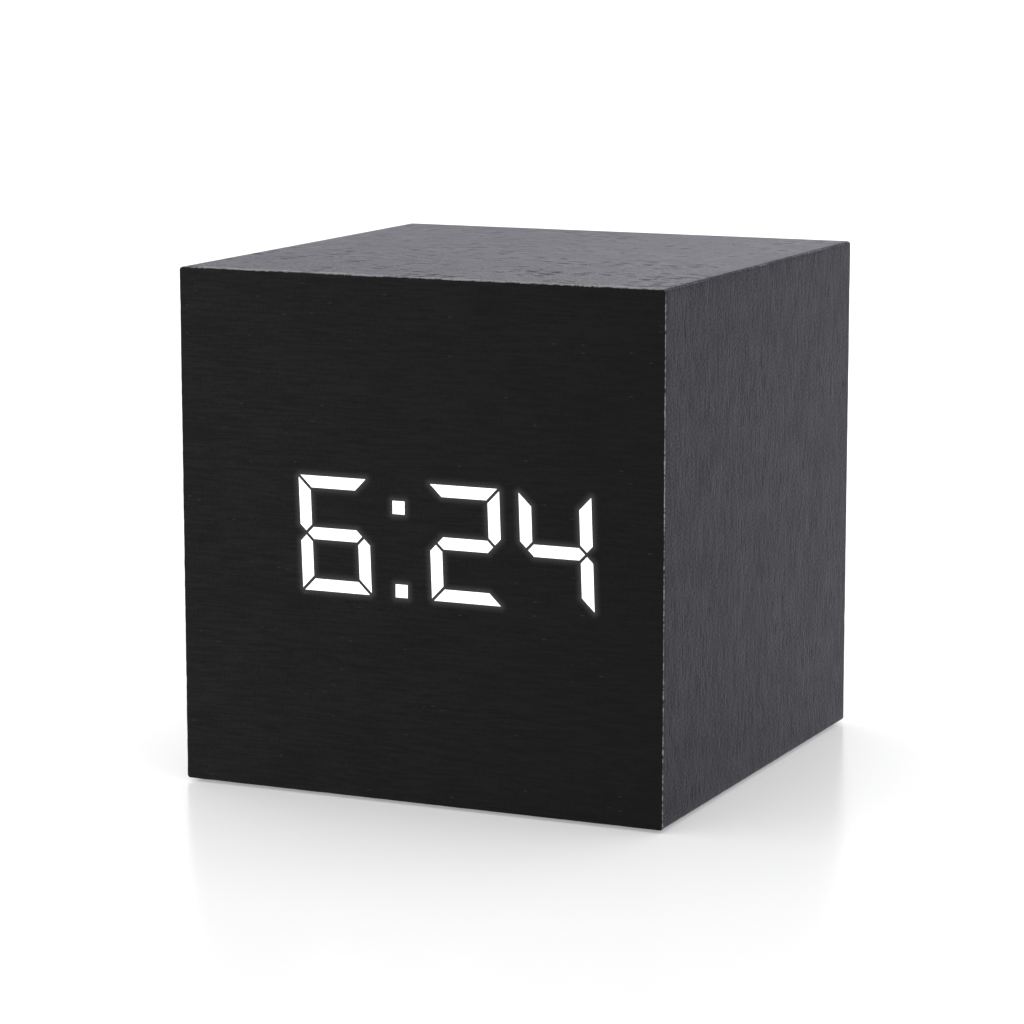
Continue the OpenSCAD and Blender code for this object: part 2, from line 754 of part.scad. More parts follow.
module cover_openings() {
    plate(door_w + 2 * door_gap, door_t + past, door_h + 2 * door_gap, 0, door_in_y, mid_z);
    plate(bay_w, door_in_y - bay_floor_y + past, bay_h, 0, bay_floor_y, mid_z);
    for (x = [set_x, up_x, down_x])
        rod(button_d + 2 * button_gap, cover_t + 2 * past, x, cover_in_y - past, strip_z);
    at_cover_screws() {
        rod(cover_screw_d + 0.6, cover_t + 2 * past, 0, cover_in_y - past);
        rod(cover_screw_head + 0.6, cover_t, 0, cover_y - cover_t / 2);
    }
    rod(jack_nose_d + 2 * jack_seat_gap, cover_t + 2 * past, jack_x, cover_in_y - past, strip_z);
    rod(mic_hole_d, cover_t + 2 * past, mic_x, cover_in_y - past, strip_z);
    for (x = boss_x)
        rod(control_screw_d, control_screw_deep + past, x, control_pcb_back_y - past, strip_z);
    sounder_holes();
    nail_notch();
}

module sounder_holes() {
    rod(1.2, cover_t + 2 * past, 0, cover_in_y - past, sounder_z);
    for (a = [0:60:300])
        rod(1.2, cover_t + 2 * past, 2.4 * cos(a), cover_in_y - past, sounder_z + 2.4 * sin(a));
}

// Scoop above the latch for a fingernail
module nail_notch() {
    notch_r = 3;
    cross_rod(2 * notch_r, latch_w - 1, (1 - latch_w) / 2, cover_y + notch_r - 0.8,
        mid_z + door_h / 2 + door_gap);
}

// Slots in the bay's floor for the solder lugs
module lug_slots() {
    for (side = [-1, 1])
        plate(contact_t + 2 * lug_gap, bay_floor_t + 2 * past, lug_w + 2 * lug_gap,
            side * (bay_w - contact_t) / 2, bay_back_y - past, mid_z + side * cell_pitch);
}

// Ridges between the cells
module cell_cradle() {
    len = cell_len - 8;
    difference() {
        plate(len, cradle_h, 2 * cell_pitch, 0, bay_floor_y - 0.01, mid_z);
        for (i = [-1:1])
            cross_rod(cell_d + 2 * cell_gap, len + 2 * past, -len / 2 - past, cell_y,
                mid_z + i * cell_pitch);
    }
}

module back_cover() {
    color("#1d1d1f") {
        difference() {
            cover_solid();
            cover_openings();
            hook_pockets();
            latch_pocket();
            lug_slots();
        }
        cell_cradle();
    }
}

module cover_screws() {
    color("#3a3b3d") at_cover_screws() translate([0, cover_y - cover_t / 2, 0])
        rotate([-90, 0, 0]) screw(cover_screw_head, cover_screw_d, cover_screw_len);
}

// Control board behind the strip of buttons
module control_pcb() {
    color("#1d5c3a") difference() {
        plate(control_pcb_w, pcb_t, control_pcb_h, control_pcb_x, control_pcb_y, strip_z);
        for (x = boss_x) rod(control_screw_d + 0.4, pcb_t + 2 * past, x, control_pcb_y - past, strip_z);
    }
}

module control_pcb_screws() {
    color("#9a9da1") for (x = boss_x) translate([x, control_pcb_y, strip_z]) rotate([90, 0, 0])
        screw(small_screw_head - 0.4, control_screw_d, control_screw_len);
}

module switch_cases() {
    well_d = plunger_d + 2 * plunger_gap;
    well_deep = plunger_deep + button_travel + 0.15;
    color("#2b2b2e") for (x = [set_x, up_x, down_x]) difference() {
        plate(switch_side, switch_case_h, switch_side, x, control_pcb_back_y, strip_z);
        rod(well_d, well_deep + past, x, switch_top_y - well_deep, strip_z);
        for (dx = [-1, 1], dz = [-1, 1])
            rod(0.8, 1, x + dx * 2.3, switch_top_y - 0.2, strip_z + dz * 2.3);
    }
}

module plunger_at(x) {
    color("#b8412f")
        rod(plunger_d, plunger_show + plunger_deep, x, switch_top_y - plunger_deep, strip_z);
}

module button_body(x) {
    rod(button_d, cover_y + button_proud - wing_y, x, wing_y, strip_z);
    intersection() {
        plate(button_d, button_wing_t, button_wing_h, x, wing_y, strip_z);
        rod(button_wing_h, button_wing_t, x, wing_y, strip_z);
    }
}

// Raised marks on the button faces
mark_t = 0.2;

module set_button() {
    color("#2c2c2f") {
        button_body(set_x);
        rod(1.6, mark_t, set_x, cover_y + button_proud, strip_z);
    }
}

module arrow_button(x, turn) {
    color("#2c2c2f") {
        button_body(x);
        translate([x, 0, 0]) raise(mark_t, cover_y + button_proud, strip_z) rotate(turn)
            polygon([[-1.2, -0.8], [1.2, -0.8], [0, 1.2]]);
    }
}

// Power jack: a case, a centre pin and a leaf that wipes the plug's barrel
module dc_jack_case() {
    color("#161617") difference() {
        union() {
            plate(jack_side, cover_in_y - jack_deep_y, jack_side, jack_x, jack_deep_y, strip_z);
            rod(jack_nose_d, jack_nose_y - jack_deep_y, jack_x, jack_deep_y, strip_z);
        }
        rod(jack_bore_d, jack_nose_y - jack_bore_y + past, jack_x, jack_bore_y, strip_z);
        rod(jack_pin_d - 0.3, jack_nose_y - jack_deep_y, jack_x, jack_deep_y - past, strip_z);
        plate(1.6, jack_slot_len, jack_side, jack_x, jack_bore_y, strip_z + jack_side / 2 + leaf_low_z);
    }
}

module dc_jack_centre_pin() {
    show = jack_nose_y - jack_bore_y - 1;
    tail = jack_bore_y - jack_deep_y + 1.5;
    color("#c6b27a") translate([jack_x, jack_bore_y, strip_z]) rotate([-90, 0, 0]) {
        rotate_extrude() polygon([
            [0, 0], [jack_pin_d / 2, 0], [jack_pin_d / 2, show - 0.25],
            [jack_pin_d / 2 - 0.25, show], [0, show]
        ]);
        translate([0, 0, -tail]) cylinder(d = jack_pin_d - 0.3, h = tail);
    }
}

// The leaf is clamped between the ends of its slot, and its tongue dips into the bore
module dc_jack_spring() {
    top_z = strip_z + jack_side / 2 - 0.35;
    low_z = strip_z + leaf_low_z + 0.3;
    y = jack_bore_y;
    color("#c6b27a") sweep_x(1.2, jack_x) polygon([
        [y, top_z], [y + jack_slot_len, top_z], [y + jack_slot_len, top_z - 0.25],
        [y + 1.7, low_z + 0.25], [y + 1, low_z], [y + 0.75, low_z + 0.15], [y + 1.3, low_z + 0.45],
        [y + 3.9, top_z - 0.25], [y, top_z - 0.25]
    ]);
}

module microphone() {
    color("#b9bcc0") difference() {
        rod(mic_d, mic_h, mic_x, control_pcb_back_y, strip_z);
        rod(0.9, 0.5, mic_x, control_pcb_back_y + mic_h - 0.3, strip_z);
    }
}

module microphone_boot() {
    color("#303033") difference() {
        rod(mic_d + 2 * boot_wall, cover_in_y - control_pcb_back_y, mic_x, control_pcb_back_y, strip_z);
        rod(mic_d, mic_h + past, mic_x, control_pcb_back_y - past, strip_z);
        rod(mic_d / 2, case_d, mic_x, control_pcb_back_y, strip_z);
    }
}

module sounder() {
    y = cover_in_y - tape_t - sounder_h;
    color("#141415") difference() {
        rod(sounder_d, sounder_h, 0, y, sounder_z);
        rod(2, 2, 0, y + sounder_h - 1.2, sounder_z);
    }
}

module sounder_tape() {
    color("#e5e0cf") difference() {
        rod(sounder_d, tape_t, 0, cover_in_y - tape_t, sounder_z);
        rod(sounder_d - 2.2, tape_t + 2 * past, 0, cover_in_y - tape_t - past, sounder_z);
    }
}

// Leads pass in front of the bay and end on the control board. A route's points are given in
// widths of the bay, diameters of the lead and heights of the bay, from the middle of its back
SOUNDER_ROUTE = [
    [0, -0.67, -0.662], [-0.02, -2.17, -0.492], [-0.08, -2.5, -0.123], [-0.12, -2.5, 0.246],
    [-0.11, -2, 0.508], [-0.09, 0.67, 0.628]
];
RED_ROUTE = [[0.436, -4, 0.462], [0.337, -3, 0.572], [0.198, -1, 0.615], [0.091, 1.67, 0.634]];
BLACK_ROUTE = [
    [-0.436, -4.33, -0.123], [-0.337, -4.17, 0.246], [-0.228, -2.67, 0.538], [-0.188, 0.33, 0.625]
];

function by_bay(p) = [p[0] * bay_w, bay_back_y + p[1] * lead_d, mid_z + p[2] * bay_h];

module sounder_lead(dx) {
    start = [dx, cover_in_y - tape_t - sounder_h, sounder_z];
    pad = lead_pad + [dx + sounder_pad_x, 0, 0];
    color("#7a2f2f") tube(spline(concat(
        [start, start + 1.5 * lead_lift],
        [for (p = SOUNDER_ROUTE) by_bay(p) + [dx, 0, 0]],
        [pad + lead_lift, pad]
    )), lead_d, [1, 0, 0]);
}

module sounder_leads() {
    for (dx = [-1.2, 1.2]) sounder_lead(dx);
}

// Battery door: hooks at its foot, a sprung latch at its head
module door_hook(x) {
    low_z = hinge_z - toe_reach;
    neck_z = door_foot_z + 0.1;
    sweep_x(hook_w, x) polygon([
        [door_in_y + 0.01, neck_z], [door_in_y + 0.01, neck_z + neck_t], [toe_low_y, neck_z + neck_t],
        [toe_low_y, low_z], [toe_top_y, low_z], [toe_top_y, neck_z]
    ]);
}

module battery_door() {
    latch_cut = latch_w + 2 * latch_gap;
    cut_h = mid_z + door_h / 2 - latch_root_z;
    color("#1d1d1f") {
        difference() {
            plate(door_w, door_t, door_h, 0, door_in_y, mid_z);
            translate([-latch_cut / 2, door_in_y - past, latch_root_z])
                cube([latch_cut, door_t + 2 * past, cut_h + past]);
            for (i = [-2:2]) plate(14, 0.6, 0.7, 0, cover_y - 0.3, mid_z + 4 + i * 1.8);
        }
        for (side = [-1, 1]) door_hook(side * hook_x);
    }
}

module door_foam_pad() {
    color("#55565a")
        plate(bay_w - 8, foam_t, bay_h - 8, 0, door_in_y - foam_t, mid_z - 1);
}

// The latch bends back on itself; its nose sits behind the cover's edge
module door_latch() {
    bend_r = latch_bend / 2 + latch_t;
    bend_z = latch_leg_z - bend_r;
    bend_y = latch_deep_y + bend_r;
    nose_z = mid_z + door_h / 2 + door_gap + latch_nose;
    nose_y = cover_in_y - hook_lip_gap;
    color("#1d1d1f") {
        difference() {
            sweep_x(latch_w) union() {
                translate([bend_y, bend_z]) circle(bend_r);
                translate([bend_y, bend_z - bend_r]) square([cover_y - bend_y, latch_t]);
                translate([bend_y, bend_z + bend_r - latch_t]) square([cover_y - bend_y, latch_t]);
            }
            sweep_x(latch_w + 2 * past) union() {
                translate([bend_y, bend_z]) circle(latch_bend / 2);
                translate([bend_y, bend_z - latch_bend / 2]) square([cover_y, latch_bend]);
            }
        }
        sweep_x(latch_w) polygon([
            [nose_y, latch_leg_z - latch_t / 2], [nose_y, nose_z], [nose_y - 0.3, nose_z],
            [nose_y - 0.9, latch_leg_z], [nose_y - 0.9, latch_leg_z - latch_t / 2]
        ]);
        sweep_x(latch_w) translate([cover_y - 1, latch_leg_z - latch_t / 2])
            square([1, mid_z + door_h / 2 - latch_leg_z + latch_t / 2 - 0.1]);
    }
}

// Cells point alternate ways, so each end has one single and one double contact
module cell(i) {
    way = i == 0 ? -1 : 1;
    can_len = cell_len - cell_nub_len;
    plus_x = bay_w / 2 - contact_t;
    translate([0, cell_y, mid_z + i * cell_pitch]) scale([way, 1, 1])
        translate([plus_x - cell_len, 0, 0]) rotate([0, 90, 0]) rotate_extrude() polygon([
            [0, 0], [3.4, 0], [3.4, 0.25], [cell_r - 0.4, 0.25], [cell_r, 0.65],
            [cell_r, can_len - 0.6], [cell_r - 0.6, can_len], [cell_nub_d / 2, can_len],
            [cell_nub_d / 2, cell_len - 0.2], [cell_nub_d / 2 - 0.2, cell_len], [0, cell_len]
        ]);
}

module contact_plate(side, z, h) {
    x = side * (bay_w - contact_t) / 2;
    plate(contact_t, contact_w, h, x, cell_y - contact_w / 2, z);
}

module lug(side, z) {
    x = side * (bay_w - contact_t) / 2;
    plate(contact_t, cell_y - bay_back_y + lug_len, lug_w, x, bay_back_y - lug_len, z);
}

// Cone-shaped spring, wound as one unbroken wire from the plate to the cell
spring_base_r = 3.4;
spring_tip_r = 2.1;
rings_per_turn = 16;
spring_sides = 6;

function spring_point(t) =
    let (r = spring_base_r + (spring_tip_r - spring_base_r) * t,
         a = 360 * spring_turns * t,
         rise = spring_wire / 2 + (spring_len - spring_wire) * t)
    [rise, r * cos(a), r * sin(a)];

spring_steps = spring_turns * rings_per_turn;
spring_line = [for (i = [0:spring_steps]) spring_point(i / spring_steps)];
echo(least_gap_between_spring_turns = min([
    for (i = [0:spring_steps - rings_per_turn / 2], k = [i + rings_per_turn / 2:spring_steps])
        norm(spring_line[k] - spring_line[i]) - spring_wire
]));

module contact_spring(side, z) {
    foot_x = side * (bay_w / 2 - contact_t);
    translate([foot_x, cell_y, z]) rotate([0, 0, side > 0 ? 180 : 0])
        tube(spring_line, spring_wire, [1, 0, 0], spring_sides);
}

module positive_terminal() {
    z = mid_z + cell_pitch;
    color("#c9ccd0") {
        contact_plate(1, z, contact_h);
        lug(1, z);
    }
}

module negative_terminal() {
    z = mid_z - cell_pitch;
    color("#c9ccd0") {
        contact_plate(-1, z, contact_h);
        lug(-1, z);
        contact_spring(-1, z);
    }
}

module bridge_contact(side, spring_z) {
    color("#c9ccd0") {
        contact_plate(side, mid_z - side * cell_pitch / 2, cell_pitch + contact_h);
        contact_spring(side, spring_z);
    }
}

// A battery lead from a lug to the control board
module battery_lead(side, pad_x, route) {
    start = [side * (bay_w - contact_t) / 2, bay_back_y - lug_len, mid_z + side * cell_pitch];
    pad = lead_pad + [pad_x, 0, 0];
    tube(spline(concat(
        [start, start + lead_lift], [for (p = route) by_bay(p)], [pad + lead_lift, pad]
    )), lead_d, [1, 0, 0]);
}

module battery_lead_red() {
    color("#b03a2e") battery_lead(1, up_x, RED_ROUTE);
}

module battery_lead_black() {
    color("#1b1b1b") battery_lead(-1, black_pad_x, BLACK_ROUTE);
}

top_board();
bottom_board();
side_board(-1);  // left_board
side_board(1);  // right_board
ring_veneer();
front_board();
front_veneer();
corner_blocks();
feet();
display_mask();
display_reflector();
hour_segments();
colon_dots();
minute_tens_segments();
minute_ones_segments();
unlit_segments();
display_leds();
display_pcb();
display_spacers();
display_screws();
controller_chip();
clock_crystal();
led_resistors();
smoothing_capacitor();
display_header();
ribbon_cable();
control_header();
back_cover();
cover_screws();
control_pcb();
control_pcb_screws();
switch_cases();
plunger_at(set_x);  // set_plunger
plunger_at(up_x);  // up_plunger
plunger_at(down_x);  // down_plunger
set_button();
arrow_button(up_x, 0);  // up_button
arrow_button(down_x, 180);  // down_button
dc_jack_case();
dc_jack_centre_pin();
dc_jack_spring();
microphone();
microphone_boot();
sounder();
sounder_tape();
sounder_leads();
battery_door();
door_foam_pad();
door_latch();
color("#5f7d8c") cell(1);  // cell_1
color("#5f7d8c") cell(0);  // cell_2
color("#5f7d8c") cell(-1);  // cell_3
positive_terminal();
negative_terminal();
bridge_contact(-1, mid_z + cell_pitch);  // bridge_contact_left
bridge_contact(1, mid_z);  // bridge_contact_right
battery_lead_red();
battery_lead_black();
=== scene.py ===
"""Looks for the cube alarm clock: camera, floor, light, veneer sheets and materials."""

import json
import math

import bpy
import numpy as np
from mathutils import Euler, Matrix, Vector, noise
from mathutils.geometry import delaunay_2d_cdt


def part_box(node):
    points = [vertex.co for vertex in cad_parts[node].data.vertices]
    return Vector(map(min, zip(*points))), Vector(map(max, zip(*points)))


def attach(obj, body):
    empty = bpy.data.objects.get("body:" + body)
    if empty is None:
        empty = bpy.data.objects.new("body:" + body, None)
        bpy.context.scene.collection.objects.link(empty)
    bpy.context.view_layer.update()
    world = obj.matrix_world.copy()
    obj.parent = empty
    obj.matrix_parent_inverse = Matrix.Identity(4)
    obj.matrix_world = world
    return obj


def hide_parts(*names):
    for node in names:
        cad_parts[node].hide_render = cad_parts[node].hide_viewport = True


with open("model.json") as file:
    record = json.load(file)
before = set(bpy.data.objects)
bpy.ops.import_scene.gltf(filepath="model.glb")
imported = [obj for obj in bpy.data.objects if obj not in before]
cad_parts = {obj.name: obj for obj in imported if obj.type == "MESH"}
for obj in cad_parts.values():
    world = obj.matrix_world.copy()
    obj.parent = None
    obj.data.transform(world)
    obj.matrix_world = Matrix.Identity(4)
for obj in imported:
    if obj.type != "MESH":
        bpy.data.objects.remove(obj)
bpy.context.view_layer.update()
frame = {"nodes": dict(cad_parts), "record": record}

MM = 0.001
nodes = frame["nodes"]


def box_mm(name):
    """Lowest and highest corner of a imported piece, in millimetres."""
    return tuple(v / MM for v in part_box(name))


# Levels of the case in millimetres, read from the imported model
ring_low, ring_high = box_mm("ring_veneer")
face_low, _ = box_mm("front_veneer")
HALF = ring_high.x
MID_Z = (ring_low.z + ring_high.z) / 2
FRONT_Y = face_low.y
RING_Y = ring_low.y
REAR_Y = ring_high.y
VENEER = RING_Y - FRONT_Y
SIDE = 2 * HALF * MM

# Camera, fitted to the seven corners of the cube that the photograph shows. Its distance and its
# aim are in sides of the cube, and the lens is in millimetres on a 36 mm sensor
AZIMUTH = math.radians(24.51)
ELEVATION = math.radians(9.712)
ROLL = math.radians(-0.052)
SIDES_AWAY = 7.2655
AIM_RIGHT = -0.0286
AIM_UP = 0.4826
LENS = 127.99

back = Vector((
    math.sin(AZIMUTH) * math.cos(ELEVATION),
    -math.cos(AZIMUTH) * math.cos(ELEVATION),
    math.sin(ELEVATION),
))
right = Vector((math.cos(AZIMUTH), math.sin(AZIMUTH), 0))
aim = right * (AIM_RIGHT * SIDE) + Vector((0, 0, ring_low.z * MM + AIM_UP * SIDE))
camera_data = bpy.data.cameras.new("camera")
camera_data.sensor_width = 36
camera_data.lens = LENS
camera_data.clip_start = 0.01
camera_data.clip_end = 50
camera = bpy.data.objects.new("camera", camera_data)
camera.rotation_mode = "QUATERNION"
camera.rotation_quaternion = (-back).to_track_quat("-Z", "Y") @ Euler((0, 0, ROLL)).to_quaternion()
camera.location = aim + back * (SIDES_AWAY * SIDE)
bpy.context.scene.collection.objects.link(camera)
bpy.context.scene.camera = camera
bpy.context.scene.view_settings.view_transform = "Standard"


class Tree:
    """A material, with short calls that make its nodes. Vectors are in millimetres."""

    def __init__(self, name, colour=(0.5, 0.5, 0.5), rough=0.5, metal=0.0):
        self.material = bpy.data.materials.new(name)
        self.material.use_nodes = True
        self.nodes = self.material.node_tree.nodes
        self.links = self.material.node_tree.links
        self.shader = self.nodes["Principled BSDF"]
        self.colour, self.rough, self.metal = colour, rough, metal

    def feed(self, socket, value):
        if isinstance(value, bpy.types.NodeSocket):
            self.links.new(value, socket)
        elif socket.type == "RGBA" and len(value) == 3:
            socket.default_value = (*value, 1)
        else:
            socket.default_value = value

    def add(self, kind, values=None, **settings):
        node = self.nodes.new("ShaderNode" + kind)
        for key, value in settings.items():
            setattr(node, key, value)
        for key, value in (values or {}).items():
            self.feed(node.inputs[key], value)
        return node

    def set(self, **values):
        for key, value in values.items():
            self.feed(self.shader.inputs[key.replace("_", " ")], value)

    def math(self, operation, *values, clamp=False):
        node = self.add("Math", operation=operation, use_clamp=clamp)
        for socket, value in zip(node.inputs, values):
            self.feed(socket, value)
        return node.outputs[0]

    def total(self, *terms):
        """Sum of (value, weight) terms."""
        result = 0.0
        for value, weight in terms:
            node = self.add("Math", {0: value, 1: weight, 2: result}, operation="MULTIPLY_ADD")
            result = node.outputs[0]
        return result

    def mix(self, share, a, b):
        node = self.add("Mix", data_type="RGBA")
        for index, value in ((0, share), (6, a), (7, b)):
            self.feed(node.inputs[index], value)
        return node.outputs[2]

    def between(self, share, a, b):
        return self.add("Mix", {0: share, 2: a, 3: b}).outputs[0]

    def ramp(self, value, low, high, to_low=0.0, to_high=1.0, smooth=True):
        node = self.add("MapRange", {
            "Value": value, "From Min": low, "From Max": high, "To Min": to_low, "To Max": to_high,
        }, interpolation_type="SMOOTHSTEP" if smooth else "LINEAR")
        return node.outputs[0]

    def place(self):
        """Where the point is on the object, in millimetres."""
        return self.stretch(self.add("TexCoord").outputs["Object"], (MM, MM, MM))

    def facing(self, axis):
        """How far the surface faces along an axis of the object, from -1 to 1."""
        return self.part(self.add("TexCoord").outputs["Normal"], axis)

    def attribute(self, name):
        return self.add("Attribute", attribute_name=name)

    def vector(self, x=0.0, y=0.0, z=0.0):
        return self.add("CombineXYZ", {0: x, 1: y, 2: z}).outputs[0]

    def stretch(self, vector, sizes, shift=(0, 0, 0)):
        scale = tuple(1 / s for s in sizes)
        return self.add("Mapping", {"Vector": vector, "Scale": scale, "Location": shift}).outputs[0]

    def noise(self, vector, detail=2.0, rough=0.5, flat=False):
        node = self.add("TexNoise", {
            "Vector": vector, "Scale": 1.0, "Detail": detail, "Roughness": rough,
        }, noise_dimensions="2D" if flat else "3D")
        return node.outputs["Fac"]

    def cells(self, vector, flat=False):
        """Distance to the nearest scattered point, and a random number for it."""
        node = self.add("TexVoronoi", {"Vector": vector, "Scale": 1.0},
                        voronoi_dimensions="2D" if flat else "3D")
        chance = self.add("SeparateColor", {"Color": node.outputs["Color"]}).outputs[0]
        return node.outputs["Distance"], chance

    def part(self, vector, axis):
        return self.add("SeparateXYZ", {"Vector": vector}).outputs["XYZ".index(axis)]

    def radius(self, vector, axes, centre):
        """Distance from a line along the third axis."""
        squares = []
        for axis, middle in zip(axes, centre):
            off = self.math("SUBTRACT", self.part(vector, axis), middle)
            squares.append((off, off))
        return self.math("SQRT", self.total(*squares))

    def cover(self, share, colour, rough, metal=0.0):
        """Lay another finish over part of the surface."""
        self.colour = self.mix(share, self.colour, colour)
        self.rough = self.between(share, self.rough, rough)
        self.metal = self.between(share, self.metal, metal)

    def finish(self, height=None, depth=0.01, soft=0.0, ior=1.5):
        """Set the surface, with a relief in millimetres and slightly rounded edges."""
        self.set(Base_Color=self.colour, Roughness=self.rough, Metallic=self.metal, IOR=ior)
        normal = {}
        if soft:
            normal["Normal"] = self.add("Bevel", {"Radius": soft * MM}, samples=4).outputs[0]
        if height is not None:
            bump = self.add("Bump", {"Height": height, "Distance": depth * MM, **normal})
            self.set(Normal=bump.outputs[0])
        elif soft:
            self.set(**normal)
        return self.material


def mesh_object(name, points_mm, faces, material):
    mesh = bpy.data.meshes.new(name)
    mesh.from_pydata([tuple(c * MM for c in p) for p in points_mm], [], faces)
    mesh.materials.append(material)
    mesh.update()
    thing = bpy.data.objects.new(name, mesh)
    bpy.context.scene.collection.objects.link(thing)
    return thing


# Studio: an even white room and a glossy white floor. The floor's glow is seen but lights nothing,
# and under and beside the clock it fades as a painted shadow. Lengths are in millimetres
FLOOR_ALBEDO = 0.70
FLOOR_GLOSS_ROUGHNESS = 0.22
FLOOR_IOR = 1.38
FLOOR_GLOW_IN_PAINTED_SHADOW = 0.315
FLOOR_GLOW_FAR = 0.44
FLOOR_SHADE_REACH = 50
FLOOR_RADIUS = 4000
FLOOR_SIDES = 64
world = bpy.data.worlds.new("white_room")
world.use_nodes = True
world.node_tree.nodes["Background"].inputs["Color"].default_value = (1, 1, 1, 1)
world.node_tree.nodes["Background"].inputs["Strength"].default_value = 1.0
bpy.context.scene.world = world


def floor_material():
    t = Tree("floor_gloss", (FLOOR_ALBEDO,) * 3, FLOOR_GLOSS_ROUGHNESS)
    path = t.add("LightPath").outputs
    seen = t.math("ADD", path["Is Camera Ray"], path["Is Glossy Ray"])
    seen = t.math("ADD", seen, path["Is Transmission Ray"], clamp=True)
    occlusion = t.add("AmbientOcclusion", {"Distance": FLOOR_SHADE_REACH * MM}, samples=8)
    open_sky = occlusion.outputs["AO"]
    # Painted shadow: seen from the camera, the glow dims where the clock closes off the sky
    fill = t.ramp(open_sky, 0.5, 1.0, FLOOR_GLOW_IN_PAINTED_SHADOW, FLOOR_GLOW_FAR, smooth=False)
    fill = t.between(path["Is Camera Ray"], FLOOR_GLOW_FAR, fill)
    glow = t.mix(t.math("MULTIPLY", seen, fill), (0, 0, 0), (1, 1, 1))
    t.set(Emission_Color=glow, Emission_Strength=1.0)
    return t.finish(ior=FLOOR_IOR)


turns = np.linspace(0, 2 * math.pi, FLOOR_SIDES, endpoint=False)
rim_points = [(FLOOR_RADIUS * math.cos(a), FLOOR_RADIUS * math.sin(a), 0) for a in turns]
floor = mesh_object("floor", rim_points, [list(range(FLOOR_SIDES))], floor_material())


# Veneer. Sizes are in millimetres: along the grain, across it and, where there is a third, in depth
PORE_CELL = (3.3, 0.8)
SPECK_CELL = (1.3, 0.36)
GRIT_SIZE = (0.32, 0.75)
CLOUD_SIZE = (10, 7)
WANDER_SIZE = (34, 8)
CHIP_SIZE = (0.5, 0.5, 0.4)
CHIP_PATCH = (9, 9, 4)
# Pale tone along the edges: thin stain, and partly a painted edge highlight
RUBBED_STAIN_AND_HIGHLIGHT = (0.190, 0.186, 0.188)
BARE_WOOD = (0.38, 0.375, 0.37)
VENEER_IOR = 1.14
RELIEF = 0.08
HALO_REACH = 1.05
HALO_LIGHT = 0.047

# The blue in the folded sheet's dark and light colours is painted bluish light on its sides and top
RING_SHEET = {
    "name": "veneer_wrap_painted_blue_light", "seed": 3.7,
    "dark": (0.0035, 0.0038, 0.0100), "light": (0.0140, 0.0145, 0.0245),
    "fleck": (0.11, 0.11, 0.115),
    "fibre_size": (4.5, 0.2), "streak_size": (5.0, 1.3), "waves": 1.6,
}
FRONT_SHEET = {
    "name": "veneer_front", "seed": 51.3,
    "dark": (0.0132, 0.0125, 0.0127), "light": (0.0206, 0.0196, 0.0200),
    "fleck": (0.06, 0.06, 0.06),
    "fibre_size": (4.5, 0.24), "streak_size": (11.0, 0.6), "waves": 0.7,
    # Painted shade: the front darkens towards its right
    "shade_towards_right": 0.6, "halo": True,
}


